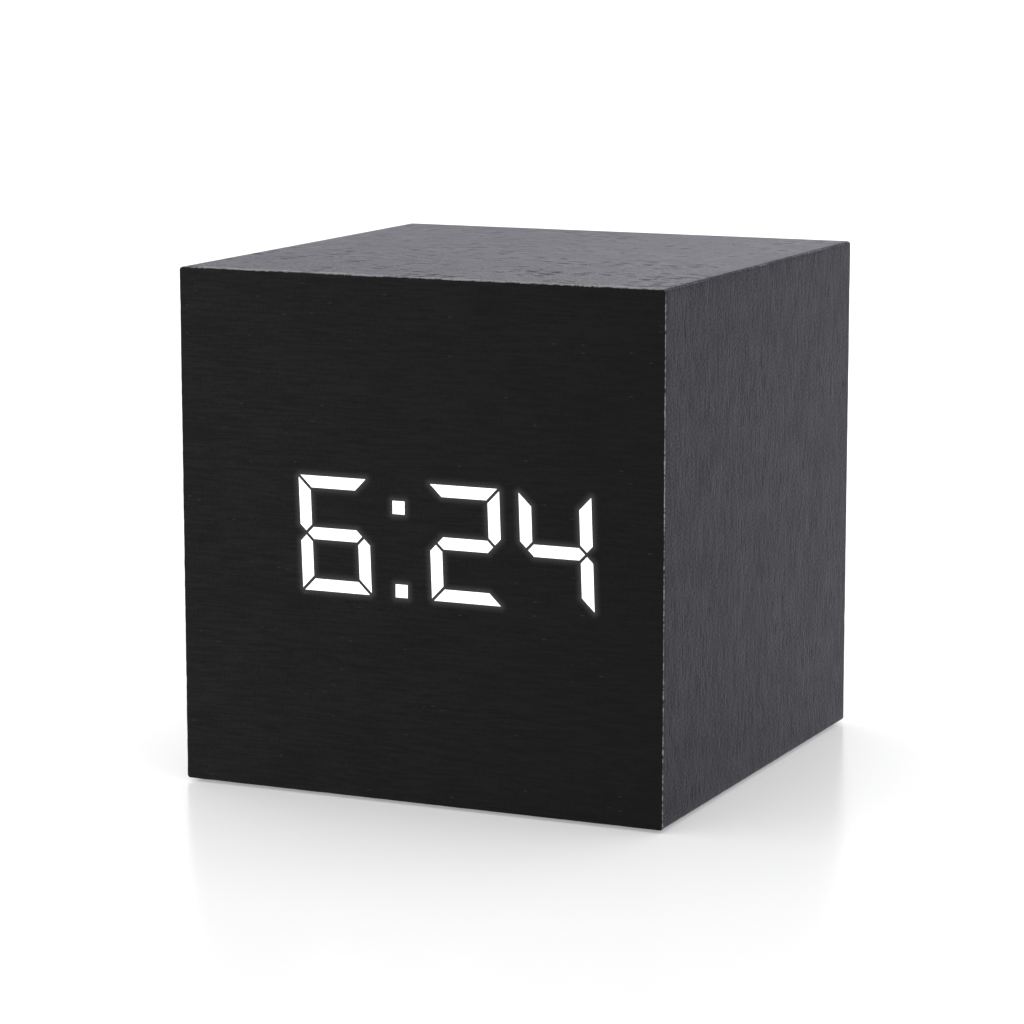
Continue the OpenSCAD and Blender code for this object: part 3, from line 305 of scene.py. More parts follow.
def veneer_material(name, seed, dark, light, fleck, fibre_size, streak_size, waves,
                    shade_towards_right=0.0, halo=False):
    """Open-pored veneer, stained nearly black.

    The grain attribute gives each point's place on the flat sheet: along the grain, across it, and
    the depth in the sheet. An edge attribute is high along edges, where the stain is abraded and a
    highlight is partly painted; the glow attribute is the distance from a lit stroke. A painted shade
    darkens the stain along the grain, towards the right, by the share given.
    """
    t = Tree(name)
    sheet = t.attribute("grain").outputs["Vector"]
    wear_and_highlight = t.attribute("wear_and_highlight").outputs["Fac"]
    shift = (seed, 2 * seed, 0)
    wander = t.noise(t.stretch(sheet, (*WANDER_SIZE, 1), shift), 1, 0.4, flat=True)
    bent = t.vector(y=t.math("MULTIPLY", wander, waves))
    lines = t.add("VectorMath", {0: sheet, 1: bent}, operation="ADD").outputs[0]
    fibre = t.noise(t.stretch(lines, (*fibre_size, 1), shift), 2, 0.6, flat=True)
    streak = t.noise(t.stretch(lines, (*streak_size, 1), shift), 2, 0.5, flat=True)
    cloud = t.noise(t.stretch(lines, (*CLOUD_SIZE, 1), shift), 2, 0.5, flat=True)
    grit = t.noise(t.stretch(sheet, (*GRIT_SIZE, 1), shift), 2, 0.65, flat=True)
    grain = t.total((fibre, 0.4), (streak, 0.2), (cloud, 0.15), (grit, 0.25))

    # Pores show most on the top, towards the front
    pore_far, pore_chance = t.cells(t.stretch(lines, (*PORE_CELL, 1), shift), flat=True)
    upward = t.ramp(t.facing("Z"), 0.8, 0.95, 0.0, 1.0)
    place = t.place()
    towards_front = t.ramp(t.part(place, "Y"), RING_Y + 1, RING_Y + 34, 1.0, 0.15, smooth=False)
    open_pores = t.math("MULTIPLY", upward, towards_front)
    pore_size = t.math("MULTIPLY", t.ramp(cloud, 0.43, 0.62, 0.08, 0.48), pore_chance)
    far_share = t.math("DIVIDE", pore_far, t.math("ADD", pore_size, 0.01))
    pore = t.math("SUBTRACT", 1.0, far_share, clamp=True)
    speck_far, speck_chance = t.cells(t.stretch(sheet, (*SPECK_CELL, 1), shift), flat=True)
    speck = t.math("MULTIPLY", t.ramp(speck_chance, 0.985, 0.995), t.ramp(speck_far, 0.30, 0.12))

    tone = t.mix(t.ramp(grain, 0.40, 0.60), dark, light)
    # Painted shade: the stain darkens along the grain, towards the right
    if shade_towards_right:
        along = t.ramp(t.part(sheet, "X"), -HALF, HALF, 0.0, shade_towards_right, smooth=False)
        tone = t.mix(along, tone, tuple(c * 0.5 for c in dark))
    pore = t.math("MULTIPLY", pore, t.between(open_pores, 0.2, 1.5))
    tone = t.mix(t.math("MULTIPLY", pore, 0.7), tone, tuple(c * 0.3 for c in dark))
    tone = t.mix(t.math("MULTIPLY", speck, 0.4), tone, fleck)

    # Along the edges the stain wears thin, with a pale line that is partly a painted highlight, and
    # bare wood shows in small chips
    chips = t.noise(t.stretch(sheet, CHIP_SIZE, shift), 3, 0.65)
    rubbed_and_highlight = t.ramp(t.total((wear_and_highlight, 1.0), (chips, 0.8)), 1.2, 1.4)
    tone = t.mix(t.math("MULTIPLY", rubbed_and_highlight, 0.7), tone, RUBBED_STAIN_AND_HIGHLIGHT)
    patches = t.noise(t.stretch(sheet, CHIP_PATCH, shift), 1)
    bare = t.total((chips, 0.8), (patches, 0.4), (wear_and_highlight, 0.25))
    bare = t.math("MULTIPLY", t.ramp(bare, 0.80, 0.90), wear_and_highlight, clamp=True)
    t.colour = t.mix(t.math("MULTIPLY", bare, 0.8), tone, BARE_WOOD)

    # The top is a little smoother towards its front and its right
    towards_right = t.ramp(t.part(place, "X"), -10, HALF, 0.0, -0.05, smooth=False)
    smoother = t.math("MULTIPLY", upward, towards_right)
    woody = t.ramp(grain, 0.35, 0.65, 0.42, 0.30)
    t.rough = t.total((woody, 1.0), (smoother, 1.0), (open_pores, -0.05), (pore, 0.8), (bare, 0.2))
    if halo:
        near = t.ramp(t.attribute("glow").outputs["Fac"], 0.0, HALO_REACH, 1.0, 0.0, smooth=False)
        haze = t.mix(t.math("POWER", near, 1.8), (0, 0, 0), (HALO_LIGHT,) * 3)
        t.set(Emission_Color=haze, Emission_Strength=1.0)
    # The blue of the sheen tint is painted bluish light at grazing angles
    t.set(Sheen_Weight=0.28, Sheen_Roughness=0.25, Sheen_Tint=(0.82, 0.79, 1.0))
    relief = t.total((fibre, 0.3), (streak, 0.25), (grit, 0.8), (pore, -1.4))
    relief = t.math("MULTIPLY", relief, t.between(open_pores, 1.0, 2.6))
    return t.finish(relief, RELIEF, ior=VENEER_IOR)


# Shape of the two sheets: radius along the fold, radius of the cut edges, the gap between the
# sheets, and the number of steps round a fold
EDGE_R = 0.45
ARRIS = 0.20
JOINT = 0.02
CORNER_STEPS = 8


def rounded_square(step):
    """Points, outward normals and path lengths round the case, from the left end of its foot."""
    points = []
    length = 0.0
    straight = 2 * (HALF - EDGE_R)
    count = round(straight / step)
    for turn in range(4):
        c, s = round(math.cos(turn * math.pi / 2)), round(math.sin(turn * math.pi / 2))
        for i in range(count):
            x, z = -straight / 2 + straight * i / count, -HALF
            points.append((x * c - z * s, x * s + z * c, s, -c, length + straight * i / count))
        length += straight
        for i in range(CORNER_STEPS):
            a = math.pi / 2 * i / CORNER_STEPS
            nx, nz = math.sin(a), -math.cos(a)
            x, z = straight / 2 + EDGE_R * nx, -straight / 2 + EDGE_R * nz
            points.append((x * c - z * s, x * s + z * c,
                           nx * c - nz * s, nx * s + nz * c, length + EDGE_R * a))
        length += EDGE_R * math.pi / 2
    return points, length


def corner_attribute(mesh, name, values):
    """Store a number or a vector for each corner of each face."""
    flat = np.asarray(values, np.float32)
    layer = mesh.attributes.new(name, "FLOAT_VECTOR" if flat.ndim == 2 else "FLOAT", "CORNER")
    layer.data.foreach_set("vector" if flat.ndim == 2 else "value", flat.ravel())


def ripple(s, seed, size):
    """Smooth random waves along a line, about size millimetres long."""
    return noise.noise(Vector((s / size, seed, 0.5)))


def arris_radius(s, seed):
    """Radius of a sharp edge along its length, with small chips."""
    radius = ARRIS + 0.07 * ripple(s, seed, 2.3) + 0.05 * ripple(s, seed + 9, 0.8)
    return max(0.05, radius + 0.16 * max(0.0, ripple(s, seed + 4, 1.1) - 0.32))


def inner_outline(x, z, nx, nz):
    """The point inside the folded sheet, on the boards, that faces a point of the outline."""
    limit, edge = HALF - VENEER, HALF - EDGE_R
    if abs(nx) > 1e-6 and abs(nz) > 1e-6:
        turn = math.atan2(abs(nx), abs(nz)) / (math.pi / 2)
        return (math.copysign(min(limit, edge + (limit - edge) * 2 * turn), x),
                math.copysign(min(limit, edge + (limit - edge) * 2 * (1 - turn)), z))
    if abs(nx) > 0.5:
        return math.copysign(limit, x), max(-limit, min(limit, z))
    return max(-limit, min(limit, x)), math.copysign(limit, z)


# Rows and spacing of the folded sheet's mesh, and how far the abrasion, partly with a painted
# highlight, reaches from its edges
WRAP_ROWS = 136
WRAP_STEP = 1.6
TOP_WEAR_AND_HIGHLIGHT_REACH = 3.2
SIDE_WEAR_AND_HIGHLIGHT_REACH = 0.5
REAR_WEAR_REACH = 0.4


def wrap_skin():
    """The sheet folded round the boards, as a closed ring with rounded, slightly abraded edges and
    painted highlight.
    """
    outline, girth = rounded_square(WRAP_STEP)
    n = len(outline)
    ends = [math.radians(a) for a in (0, 30, 60)]
    rows = [("front", a) for a in ends]
    shares = (0, 0.0006, *np.linspace(0, 1, WRAP_ROWS)[1:-1], 0.9994, 1)
    rows += [("side", share) for share in shares]
    rows += [("rear", a) for a in reversed(ends)]
    rows += [("inner", REAR_Y), ("inner", RING_Y)]
    points, sheet, wear_and_highlight = [], [], []

    def front_wear_and_highlight(x, nz):
        """The front edge of the top is abraded and carries a painted highlight, most at its left."""
        return 0.3 if nz < 0.7 else 1.12 - 0.12 * min(1.0, max(0.0, (x + 20) / 22))

    for kind, value in rows:
        for x, z, nx, nz, s in outline:
            r = JOINT if kind == "front" else arris_radius(s, 31.0)
            drop, worn_and_highlit = 0.0, 0.0
            if kind == "front":
                y, drop = RING_Y + r * (1 - math.cos(value)), r * (1 - math.sin(value))
                worn_and_highlit = front_wear_and_highlight(x, nz)
            elif kind == "rear":
                y, drop = REAR_Y - r * (1 - math.cos(value)), r * (1 - math.sin(value))
                worn_and_highlit = 0.6
            elif kind == "side":
                y = RING_Y + JOINT + (REAR_Y - RING_Y - JOINT - r) * value
                bend = 1 - abs(abs(nx) - abs(nz))
                if bend > 0.02:
                    drop = bend * (0.03 + 0.07 * max(0.0, ripple(y, s, 1.3)))
                    worn_and_highlit = 0.8 * bend
                reach = TOP_WEAR_AND_HIGHLIGHT_REACH if nz > 0.7 else SIDE_WEAR_AND_HIGHLIGHT_REACH
                worn_and_highlit = max(worn_and_highlit, front_wear_and_highlight(x, nz) * max(0.0, 1 - (y - RING_Y) / reach))
                worn_and_highlit = max(worn_and_highlit, 0.4 * max(0.0, 1 - (REAR_Y - y) / REAR_WEAR_REACH))
            if kind == "inner":
                y, drop = value, VENEER
                px, pz = inner_outline(x, z, nx, nz)
            else:
                px, pz = x - nx * drop, z - nz * drop
            points.append((px, y, MID_Z + pz))
            sheet.append((s, y, drop))
            wear_and_highlight.append(worn_and_highlit)
    faces, grain = [], []
    for j in range(len(rows)):
        k = (j + 1) % len(rows)
        for i in range(n):
            a = (i + 1) % n
            face = (j * n + i, k * n + i, k * n + a, j * n + a)
            faces.append(face)
            lap = girth if a == 0 else 0.0
            for v, extra in zip(face, (0, 0, lap, lap)):
                s, y, depth = sheet[v]
                grain.append((s + extra, y, depth))
    skin = mesh_object("wrapped_veneer", points, faces, veneer_material(**RING_SHEET))
    corner_attribute(skin.data, "grain", grain)
    corner_attribute(skin.data, "wear_and_highlight", [wear_and_highlight[v] for f in faces for v in f])
    skin.data.polygons.foreach_set("use_smooth", [True] * len(faces))
    return skin


def lit_outlines():
    """The outline in x and z of each lit stroke's front, in millimetres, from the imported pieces."""
    shapes = []
    for name in ("hour_segments", "colon_dots", "minute_tens_segments", "minute_ones_segments"):
        mesh = nodes[name].data
        edges = set()
        for polygon in mesh.polygons:
            flat = [mesh.vertices[v].co / MM for v in polygon.vertices]
            if all(abs(p.y - FRONT_Y) < 1e-3 for p in flat):
                ring = [(round(p.x, 3), round(p.z - MID_Z, 3)) for p in flat]
                for a, b in zip(ring, ring[1:] + ring[:1]):
                    if (b, a) in edges:
                        edges.remove((b, a))
                    else:
                        edges.add((a, b))
        after = dict(sorted(edges))
        while after:
            start = min(after)
            loop, b = [start], after.pop(start)
            while b != start:
                loop.append(b)
                b = after.pop(b)
            shapes.append(loop)
    return sorted(shapes)


def distances(points, loops):
    """Distance from each point to the nearest loop."""
    p = np.asarray(points, float)[:, None, :]
    a = np.array([v for loop in loops for v in loop], float)[None]
    b = np.array([v for loop in loops for v in loop[1:] + loop[:1]], float)[None]
    along = b - a
    t = np.clip(((p - a) * along).sum(2) / (along ** 2).sum(2), 0, 1)
    return np.sqrt((((a + along * t[..., None]) - p) ** 2).sum(2)).min(1)


def inside(points, loop):
    """Whether each point is inside a loop."""
    x, z = np.asarray(points, float).T
    hit = np.zeros(len(x), bool)
    for (ax, az), (bx, bz) in zip(loop, loop[1:] + loop[:1]):
        if az != bz:
            hit ^= ((az > z) != (bz > z)) & (x < (bx - ax) * (z - az) / (bz - az) + ax)
    return hit


def sheet_with_windows(rim, shapes, free):
    """Triangles that fill the rim, with a window for each shape.

    Gives the points, the faces, and where each input point went.
    """
    loops = [rim] + shapes
    starts = np.cumsum([0] + [len(loop) for loop in loops])
    edges = [(s + i, s + (i + 1) % len(loop))
             for s, loop in zip(starts, loops) for i in range(len(loop))]
    inputs = [Vector(p) for loop in loops for p in loop] + [Vector(p) for p in free]
    made, _, faces, origins, _, _ = delaunay_2d_cdt(inputs, edges, [], 1, 1e-5)
    centres = np.array([[sum(made[v].x for v in f) / 3, sum(made[v].y for v in f) / 3]
                        for f in faces])
    hole = np.zeros(len(faces), bool)
    for shape in shapes:
        hole |= inside(centres, shape)
    went = {source: index for index, sources in enumerate(origins) for source in sources}
    return made, [tuple(f) for f, h in zip(faces, hole) if not h], went


# Points of the front sheet: their spacing along its rim, near the strokes for their glow, and
# elsewhere, with the range each grid covers and its distance from the strokes
RIM_STEP = 0.5
GLOW_STEP = 0.22
GLOW_BAND = (0.09, 1.4)
GLOW_SPAN = 30
GLOW_HEIGHT = 10
OPEN_STEP = 2.0
OPEN_FROM = 1.6
OPEN_SPAN = 32
NO_GLOW = 9.0


def face_skin():
    """The sheet on the front: fine around the strokes, rounded and chipped at its rim."""
    outline, _ = rounded_square(RIM_STEP)
    n = len(outline)
    radii = [arris_radius(s, 12.0) for *_, s in outline]
    shapes = lit_outlines()
    fine = np.arange(-GLOW_SPAN, GLOW_SPAN, GLOW_STEP)
    near = [(x + GLOW_STEP / 2 * (j % 2), z)
            for j, z in enumerate(fine) if abs(z) < GLOW_HEIGHT for x in fine]
    near = [p for p, d in zip(near, distances(near, shapes)) if GLOW_BAND[0] < d < GLOW_BAND[1]]
    coarse = np.arange(-OPEN_SPAN, OPEN_SPAN + 0.1, OPEN_STEP)
    wide = [(x, z) for x in coarse for z in coarse]
    wide = [p for p, d in zip(wide, distances(wide, shapes)) if d > OPEN_FROM]
    free = np.array(near + wide)
    for shape in shapes:
        free = free[~inside(free, shape)]
    rim = [(x - nx * r, z - nz * r) for (x, z, nx, nz, s), r in zip(outline, radii)]
    made, faces, went = sheet_with_windows(rim, shapes, free)

    points = [(v.x, FRONT_Y, v.y + MID_Z) for v in made]
    glow = list(distances([(v.x, v.y) for v in made], shapes))
    wear_and_highlight = [0.0] * len(points)

    def add(x, y, z, worn_and_highlit):
        points.append((x, y, z + MID_Z))
        glow.append(NO_GLOW)
        wear_and_highlight.append(worn_and_highlit)
        return len(points) - 1

    def edge_wear_and_highlight(x, z, nx, nz):
        """Near and top edges are abraded, with a painted highlight, the top most at its left; others
        hardly.
        """
        if nx > 0.3:
            return 1.1
        if nz > 0.3:
            return 1.5 - 0.2 * min(1.0, max(0.0, (x + 24) / 22))
        return 0.1

    def band(last, inset, y_of, worn_and_highlit):
        """A row of points round the rim, and the faces that join it to the last row."""
        row = []
        for (x, z, nx, nz, _), r in zip(outline, radii):
            here = min(1.0, worn_and_highlit * edge_wear_and_highlight(x, z, nx, nz))
            row.append(add(x - nx * inset(r), y_of(r), z - nz * inset(r), here))
        faces.extend((last[i], row[i], row[(i + 1) % n], last[(i + 1) % n]) for i in range(n))
        return row

    last = [went[i] for i in range(n)]
    for degrees, worn_and_highlit in ((22, 0.3), (45, 1.0), (68, 1.0), (90, 0.6)):
        a = math.radians(degrees)
        last = band(last, lambda r: r * (1 - math.sin(a)),
                    lambda r: FRONT_Y + r * (1 - math.cos(a)), worn_and_highlit)
    last = band(last, lambda r: 0.0, lambda r: FRONT_Y + r + 0.01, 0.5)
    last = band(last, lambda r: 0.0, lambda r: RING_Y - JOINT - 0.01, 0.3)
    last = band(last, lambda r: 0.0, lambda r: RING_Y - JOINT, 0.3)
    last = band(last, lambda r: JOINT, lambda r: RING_Y, 0.2)

    # Back of the sheet and the walls of the windows
    back_rim = [(x - nx * JOINT, z - nz * JOINT) for x, z, nx, nz, s in outline]
    _, back_faces, back_went = sheet_with_windows(back_rim, shapes, [])
    back_ids = last + [add(x, RING_Y, z, 0.0) for shape in shapes for x, z in shape]
    source = {index: back_ids[k] for k, index in back_went.items()}
    faces += [tuple(source[v] for v in reversed(f)) for f in back_faces]
    k = n
    for shape in shapes:
        m = len(shape)
        for i in range(m):
            j = (i + 1) % m
            faces.append((went[k + i], went[k + j], back_ids[k + j], back_ids[k + i]))
        k += m
    skin = mesh_object("front_veneer_sheet", points, faces, veneer_material(**FRONT_SHEET))
    mesh = skin.data
    sheet = [(x, z, y - FRONT_Y) for x, y, z in points]
    corner_attribute(mesh, "grain", [sheet[v] for f in faces for v in f])
    corner_attribute(mesh, "wear_and_highlight", [wear_and_highlight[v] for f in faces for v in f])
    corner_attribute(mesh, "glow", [glow[v] for f in faces for v in f])
    mesh.polygons.foreach_set("use_smooth", [len(f) == 4 for f in faces])
    return skin


for make, node in ((wrap_skin, "ring_veneer"), (face_skin, "front_veneer")):
    skin = make()
    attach(skin, "case")
    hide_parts(node)


# Materials of the carried-over pieces. Sizes are in millimetres
def scaled(colour, k):
    return tuple(min(1.0, c * k) for c in colour)


def plastic(name, colour, grain=0.3, depth=0.010, rough=0.42, ior=1.5, soft=0.0, marks_from=None):
    """Moulded plastic: spark-eroded skin, faint flow marks and a few handling marks.

    The colour varies with the flow marks and, as a painted shade, with the relief of the skin; black
    plastic varies more. Raised marks behind marks_from are printed pale grey.
    """
    t = Tree(name)
    p = t.place()
    skin = t.noise(t.stretch(p, (grain,) * 3), 2, 0.6)
    flow = t.noise(t.stretch(p, (13, 16, 9)), 3)
    scuff = t.ramp(t.noise(t.stretch(p, (5.0, 0.7, 0.45)), 3, 0.7), 0.64, 0.76)
    # Painted shade of the skin's relief, together with real flow marks, strongest on black plastic
    relief_shade_spread = 0.95 if max(colour) < 0.05 else 0.35
    t.colour = t.mix(t.total((flow, 0.5), (t.ramp(skin, 0.3, 0.7), 0.5)),
                     scaled(colour, 1 - relief_shade_spread), scaled(colour, 1 + relief_shade_spread))
    t.rough = t.ramp(t.total((flow, 0.5), (skin, 0.5)), 0.3, 0.7, rough - 0.1, rough + 0.1)
    t.cover(t.math("MULTIPLY", scuff, 0.3), tuple(c + 0.05 for c in colour), rough - 0.1)
    if marks_from is not None:
        paint = t.total((t.part(p, "Y"), 1.0), (skin, 0.04))
        t.cover(t.ramp(paint, marks_from, marks_from + 0.02), (0.42, 0.42, 0.42), 0.6)
    return t.finish(skin, depth, soft, ior)


def metal(name, colour, rough=0.28, lay=(0.12, 3.0, 0.12)):
    """Bare metal with fine rolling or turning lines and slight tarnish."""
    t = Tree(name, metal=1.0)
    p = t.place()
    lines = t.noise(t.stretch(p, lay), 3, 0.6)
    tarnish = t.noise(t.stretch(p, (2.5, 2.5, 2.5)), 3, 0.6)
    t.colour = t.mix(tarnish, scaled(colour, 0.8), scaled(colour, 1.06))
    t.rough = t.ramp(t.total((lines, 0.6), (tarnish, 0.4)), 0.35, 0.65, rough - 0.08, rough + 0.12)
    return t.finish(lines, 0.004, 0.05)


def fibreboard(name, painted=True):
    """Medium-density fibreboard, with black paint on its rear rim."""
    t = Tree(name, rough=0.85)
    p = t.place()
    fibres = t.noise(t.stretch(p, (1.5, 0.5, 0.4)), 4, 0.7)
    lumps = t.noise(t.stretch(p, (0.8, 0.8, 0.8)), 2)
    mixture = t.ramp(t.total((fibres, 0.7), (lumps, 0.3)), 0.36, 0.64)
    t.colour = t.mix(mixture, (0.27, 0.17, 0.09), (0.47, 0.33, 0.20))
    if painted:
        edge = t.total((t.part(p, "Y"), 1.0), (t.noise(t.stretch(p, (1.6, 1.6, 1.6)), 3), 2.0))
        paint = t.ramp(edge, REAR_Y - 1.2, REAR_Y - 0.7)
        black = t.mix(lumps, (0.010, 0.010, 0.011), (0.020, 0.020, 0.021))
        t.cover(paint, black, t.ramp(fibres, 0.35, 0.65, 0.5, 0.72))
    return t.finish(t.total((fibres, 0.5), (lumps, 0.5)), 0.06)


def softwood(name):
    """Planed pine with its year rings along the block."""
    t = Tree(name, rough=0.7)
    p = t.place()
    rings = t.add("TexWave", {
        "Vector": t.stretch(p, (12, 160, 12), (2.1, 0, 0.7)),
        "Scale": 1.0, "Distortion": 1.2, "Detail": 3.0,
    }, wave_type="RINGS", rings_direction="Y").outputs["Fac"]
    fibres = t.noise(t.stretch(p, (0.3, 7, 0.3)), 3, 0.6)
    t.colour = t.mix(t.total((rings, 0.7), (fibres, 0.3)), (0.66, 0.47, 0.27), (0.45, 0.27, 0.13))
    return t.finish(t.total((rings, 0.3), (fibres, 0.7)), 0.05)


def circuit_board(name, seed):
    """Green solder mask over tracks in two directions, with tinned holes and bare edges."""
    t = Tree(name, rough=0.34)
    p = t.place()
    x, z = t.part(p, "X"), t.part(p, "Z")
    tracks = []
    for vector in (t.vector(x, z), t.vector(z, x)):
        brick = t.add("TexBrick", {
            "Vector": vector, "Scale": 1.0, "Brick Width": 8.5, "Row Height": 0.8,
            "Mortar Size": 0.13, "Mortar Smooth": 0.1,
        }, offset=0.37)
        tracks.append(t.math("SUBTRACT", 1.0, brick.outputs["Fac"]))
    _, region = t.cells(t.stretch(t.vector(x, z), (11, 11, 1), (seed, seed, 0)), flat=True)
    track = t.between(t.ramp(region, 0.49, 0.51), *tracks)
    pour = t.ramp(region, 0.80, 0.81)
    copper = t.math("MAXIMUM", track, pour)
    t.colour = t.mix(copper, (0.005, 0.040, 0.018), (0.010, 0.085, 0.040))
    far, chance = t.cells(t.stretch(t.vector(x, z), (3.1, 3.1, 1), (seed, 0, 0)), flat=True)
    hole = t.math("MULTIPLY", t.ramp(far, 0.13, 0.10), t.ramp(chance, 0.55, 0.56))
    t.cover(hole, (0.62, 0.61, 0.58), 0.3, 1.0)
    weave = t.noise(t.stretch(p, (0.5, 0.5, 0.5)), 1)
    edge = t.ramp(t.math("ABSOLUTE", t.facing("Y")), 0.7, 0.5)
    t.cover(edge, t.mix(weave, (0.36, 0.34, 0.18), (0.50, 0.47, 0.28)), 0.8)
    return t.finish(t.total((copper, 0.6), (weave, 0.3), (hole, 0.5)), 0.03)


def chip(name, axis, middle, body_half):
    """Moulded package with fine matt skin, and tinned legs or end caps beyond body_half."""
    t = Tree(name, rough=0.62)
    p = t.place()
    skin = t.noise(t.stretch(p, (0.18, 0.18, 0.18)), 2, 0.6)
    t.colour = t.mix(skin, (0.010, 0.010, 0.011), (0.026, 0.026, 0.028))
    off = t.math("ABSOLUTE", t.math("SUBTRACT", t.part(p, axis), middle))
    solder = t.noise(t.stretch(p, (0.5, 0.5, 0.5)), 2)
    tinned = t.mix(solder, (0.50, 0.49, 0.47), (0.66, 0.65, 0.62))
    t.cover(t.ramp(off, body_half, body_half + 0.02), tinned, 0.32, 1.0)
    return t.finish(skin, 0.02)


def cell(name, node, plus_right):
    """A dry cell: printed sleeve with one plain band, and bare steel at both ends."""
    low, high = box_mm(node)
    t = Tree(name, rough=0.3)
    p = t.place()
    x = t.part(p, "X")
    along = t.math("SUBTRACT", x, low.x) if plus_right else t.math("SUBTRACT", high.x, x)
    flow = t.noise(t.stretch(p, (7, 2, 2)), 3)
    skin = t.noise(t.stretch(p, (0.5, 0.2, 0.2)), 2)
    t.colour = t.mix(flow, (0.020, 0.045, 0.075), (0.030, 0.060, 0.095))
    band = t.math("MULTIPLY", t.ramp(along, 33.0, 33.08), t.ramp(along, 41.6, 41.52))
    t.cover(band, t.mix(flow, (0.42, 0.43, 0.44), (0.52, 0.53, 0.54)), 0.36)
    rim = t.radius(p, "YZ", ((low.y + high.y) / 2, (low.z + high.z) / 2))
    steel = t.noise(t.stretch(p, (0.3, 0.3, 0.3)), 2)
    t.cover(t.ramp(rim, 4.55, 4.50), t.mix(steel, (0.48, 0.48, 0.49), (0.66, 0.66, 0.67)), 0.3, 1.0)
    return t.finish(t.total((skin, 0.4), (flow, 0.6)), 0.02)


def capacitor(name, node):
    """Electrolytic capacitor: shrunk sleeve with a pale stripe, and a scored aluminium top."""
    low, high = box_mm(node)
    middle = (low + high) / 2
    t = Tree(name, rough=0.32)
    p = t.place()
    flow = t.noise(t.stretch(p, (2, 3, 2)), 3)
    t.colour = t.mix(flow, (0.010, 0.012, 0.018), (0.018, 0.020, 0.028))
    stripe = t.ramp(t.part(p, "X"), middle.x + 2.30, middle.x + 2.34)
    t.cover(stripe, (0.50, 0.50, 0.49), 0.4)
    rim = t.radius(p, "XZ", (middle.x, middle.z))
    disc = t.ramp(rim, 2.62, 2.58)
    top = t.math("MULTIPLY", disc, t.ramp(t.part(p, "Y"), high.y - 0.4, high.y - 0.38))
    t.cover(top, (0.70, 0.70, 0.71), 0.25, 1.0)
    score = []
    for axis, centre in (("X", middle.x), ("Z", middle.z)):
        off = t.math("ABSOLUTE", t.math("SUBTRACT", t.part(p, axis), centre))
        score.append(t.ramp(off, 0.16, 0.06))
    groove = t.math("MULTIPLY", t.math("MAXIMUM", *score), top)
    return t.finish(t.total((flow, 0.3), (groove, -1.0)), 0.08)


def ribbon(name, node):
    """Flat cable of eight joined wires, the first one red."""
    low, high = box_mm(node)
    pitch = (high.x - low.x) / 8
    t = Tree(name, rough=0.45)
    p = t.place()
    across = t.math("DIVIDE", t.math("SUBTRACT", t.part(p, "X"), low.x), pitch)
    ridge = t.math("ABSOLUTE", t.math("SINE", t.math("MULTIPLY", across, math.pi)))
    dirt = t.noise(t.stretch(p, (3, 3, 3)), 3)
    t.colour = t.mix(dirt, (0.27, 0.27, 0.28), (0.36, 0.36, 0.37))
    t.cover(t.ramp(across, 1.02, 0.98), (0.36, 0.03, 0.03), 0.45)
    return t.finish(t.total((ridge, 1.0), (dirt, 0.1)), 0.12)


def foam(name, colour, size):
    """Open foam: small round cells, with painted shade in their hollows."""
    t = Tree(name, rough=0.95)
    p = t.place()
    far, chance = t.cells(t.stretch(p, (size,) * 3))
    coarse = t.noise(t.stretch(p, (4, 4, 4)), 2)
    # Painted shade: darker towards the middle of each cell, in its hollow
    t.colour = t.mix(t.ramp(far, 0.15, 0.6), scaled(colour, 0.35), scaled(colour, 1.2))
    return t.finish(t.total((far, 1.0), (coarse, 0.5), (chance, 0.1)), 0.12)


def clouded(name, low_tone, high_tone, rough, glow=0.0):
    """Cast resin or glass-filled white plastic, slightly uneven inside."""
    t = Tree(name, rough=rough)
    p = t.place()
    cloud = t.noise(t.stretch(p, (0.9, 0.9, 0.9)), 2)
    t.colour = t.mix(cloud, low_tone, high_tone)
    if glow:
        t.set(Emission_Color=t.colour, Emission_Strength=glow)
    return t.finish(t.noise(t.stretch(p, (0.5, 0.5, 0.5)), 2), 0.008)


def diode(name):
    """Small white package with yellow phosphor on the side that shines."""
    t = Tree(name, rough=0.45)
    p = t.place()
    grit = t.noise(t.stretch(p, (0.12, 0.12, 0.12)), 2)
    t.colour = t.mix(grit, (0.68, 0.67, 0.62), (0.78, 0.77, 0.73))
    phosphor = t.mix(grit, (0.72, 0.55, 0.06), (0.85, 0.70, 0.12))
    t.cover(t.ramp(t.facing("Y"), -0.8, -0.9), phosphor, 0.3)
    return t.finish(grit, 0.02)


def film(name):
    """Printed black polyester: even, satin, with rare dust."""
    t = Tree(name)
    p = t.place()
    haze = t.noise(t.stretch(p, (6, 6, 6)), 3)
    far, chance = t.cells(t.stretch(p, (0.9, 0.9, 0.9)))
    dust = t.math("MULTIPLY", t.ramp(chance, 0.95, 0.96), t.ramp(far, 0.10, 0.05))
    t.colour = t.mix(haze, (0.006, 0.006, 0.007), (0.011, 0.011, 0.012))
    t.rough = t.ramp(haze, 0.3, 0.7, 0.26, 0.40)
    t.cover(t.math("MULTIPLY", dust, 0.6), (0.3, 0.3, 0.3), 0.7)
    return t.finish(haze, 0.004)


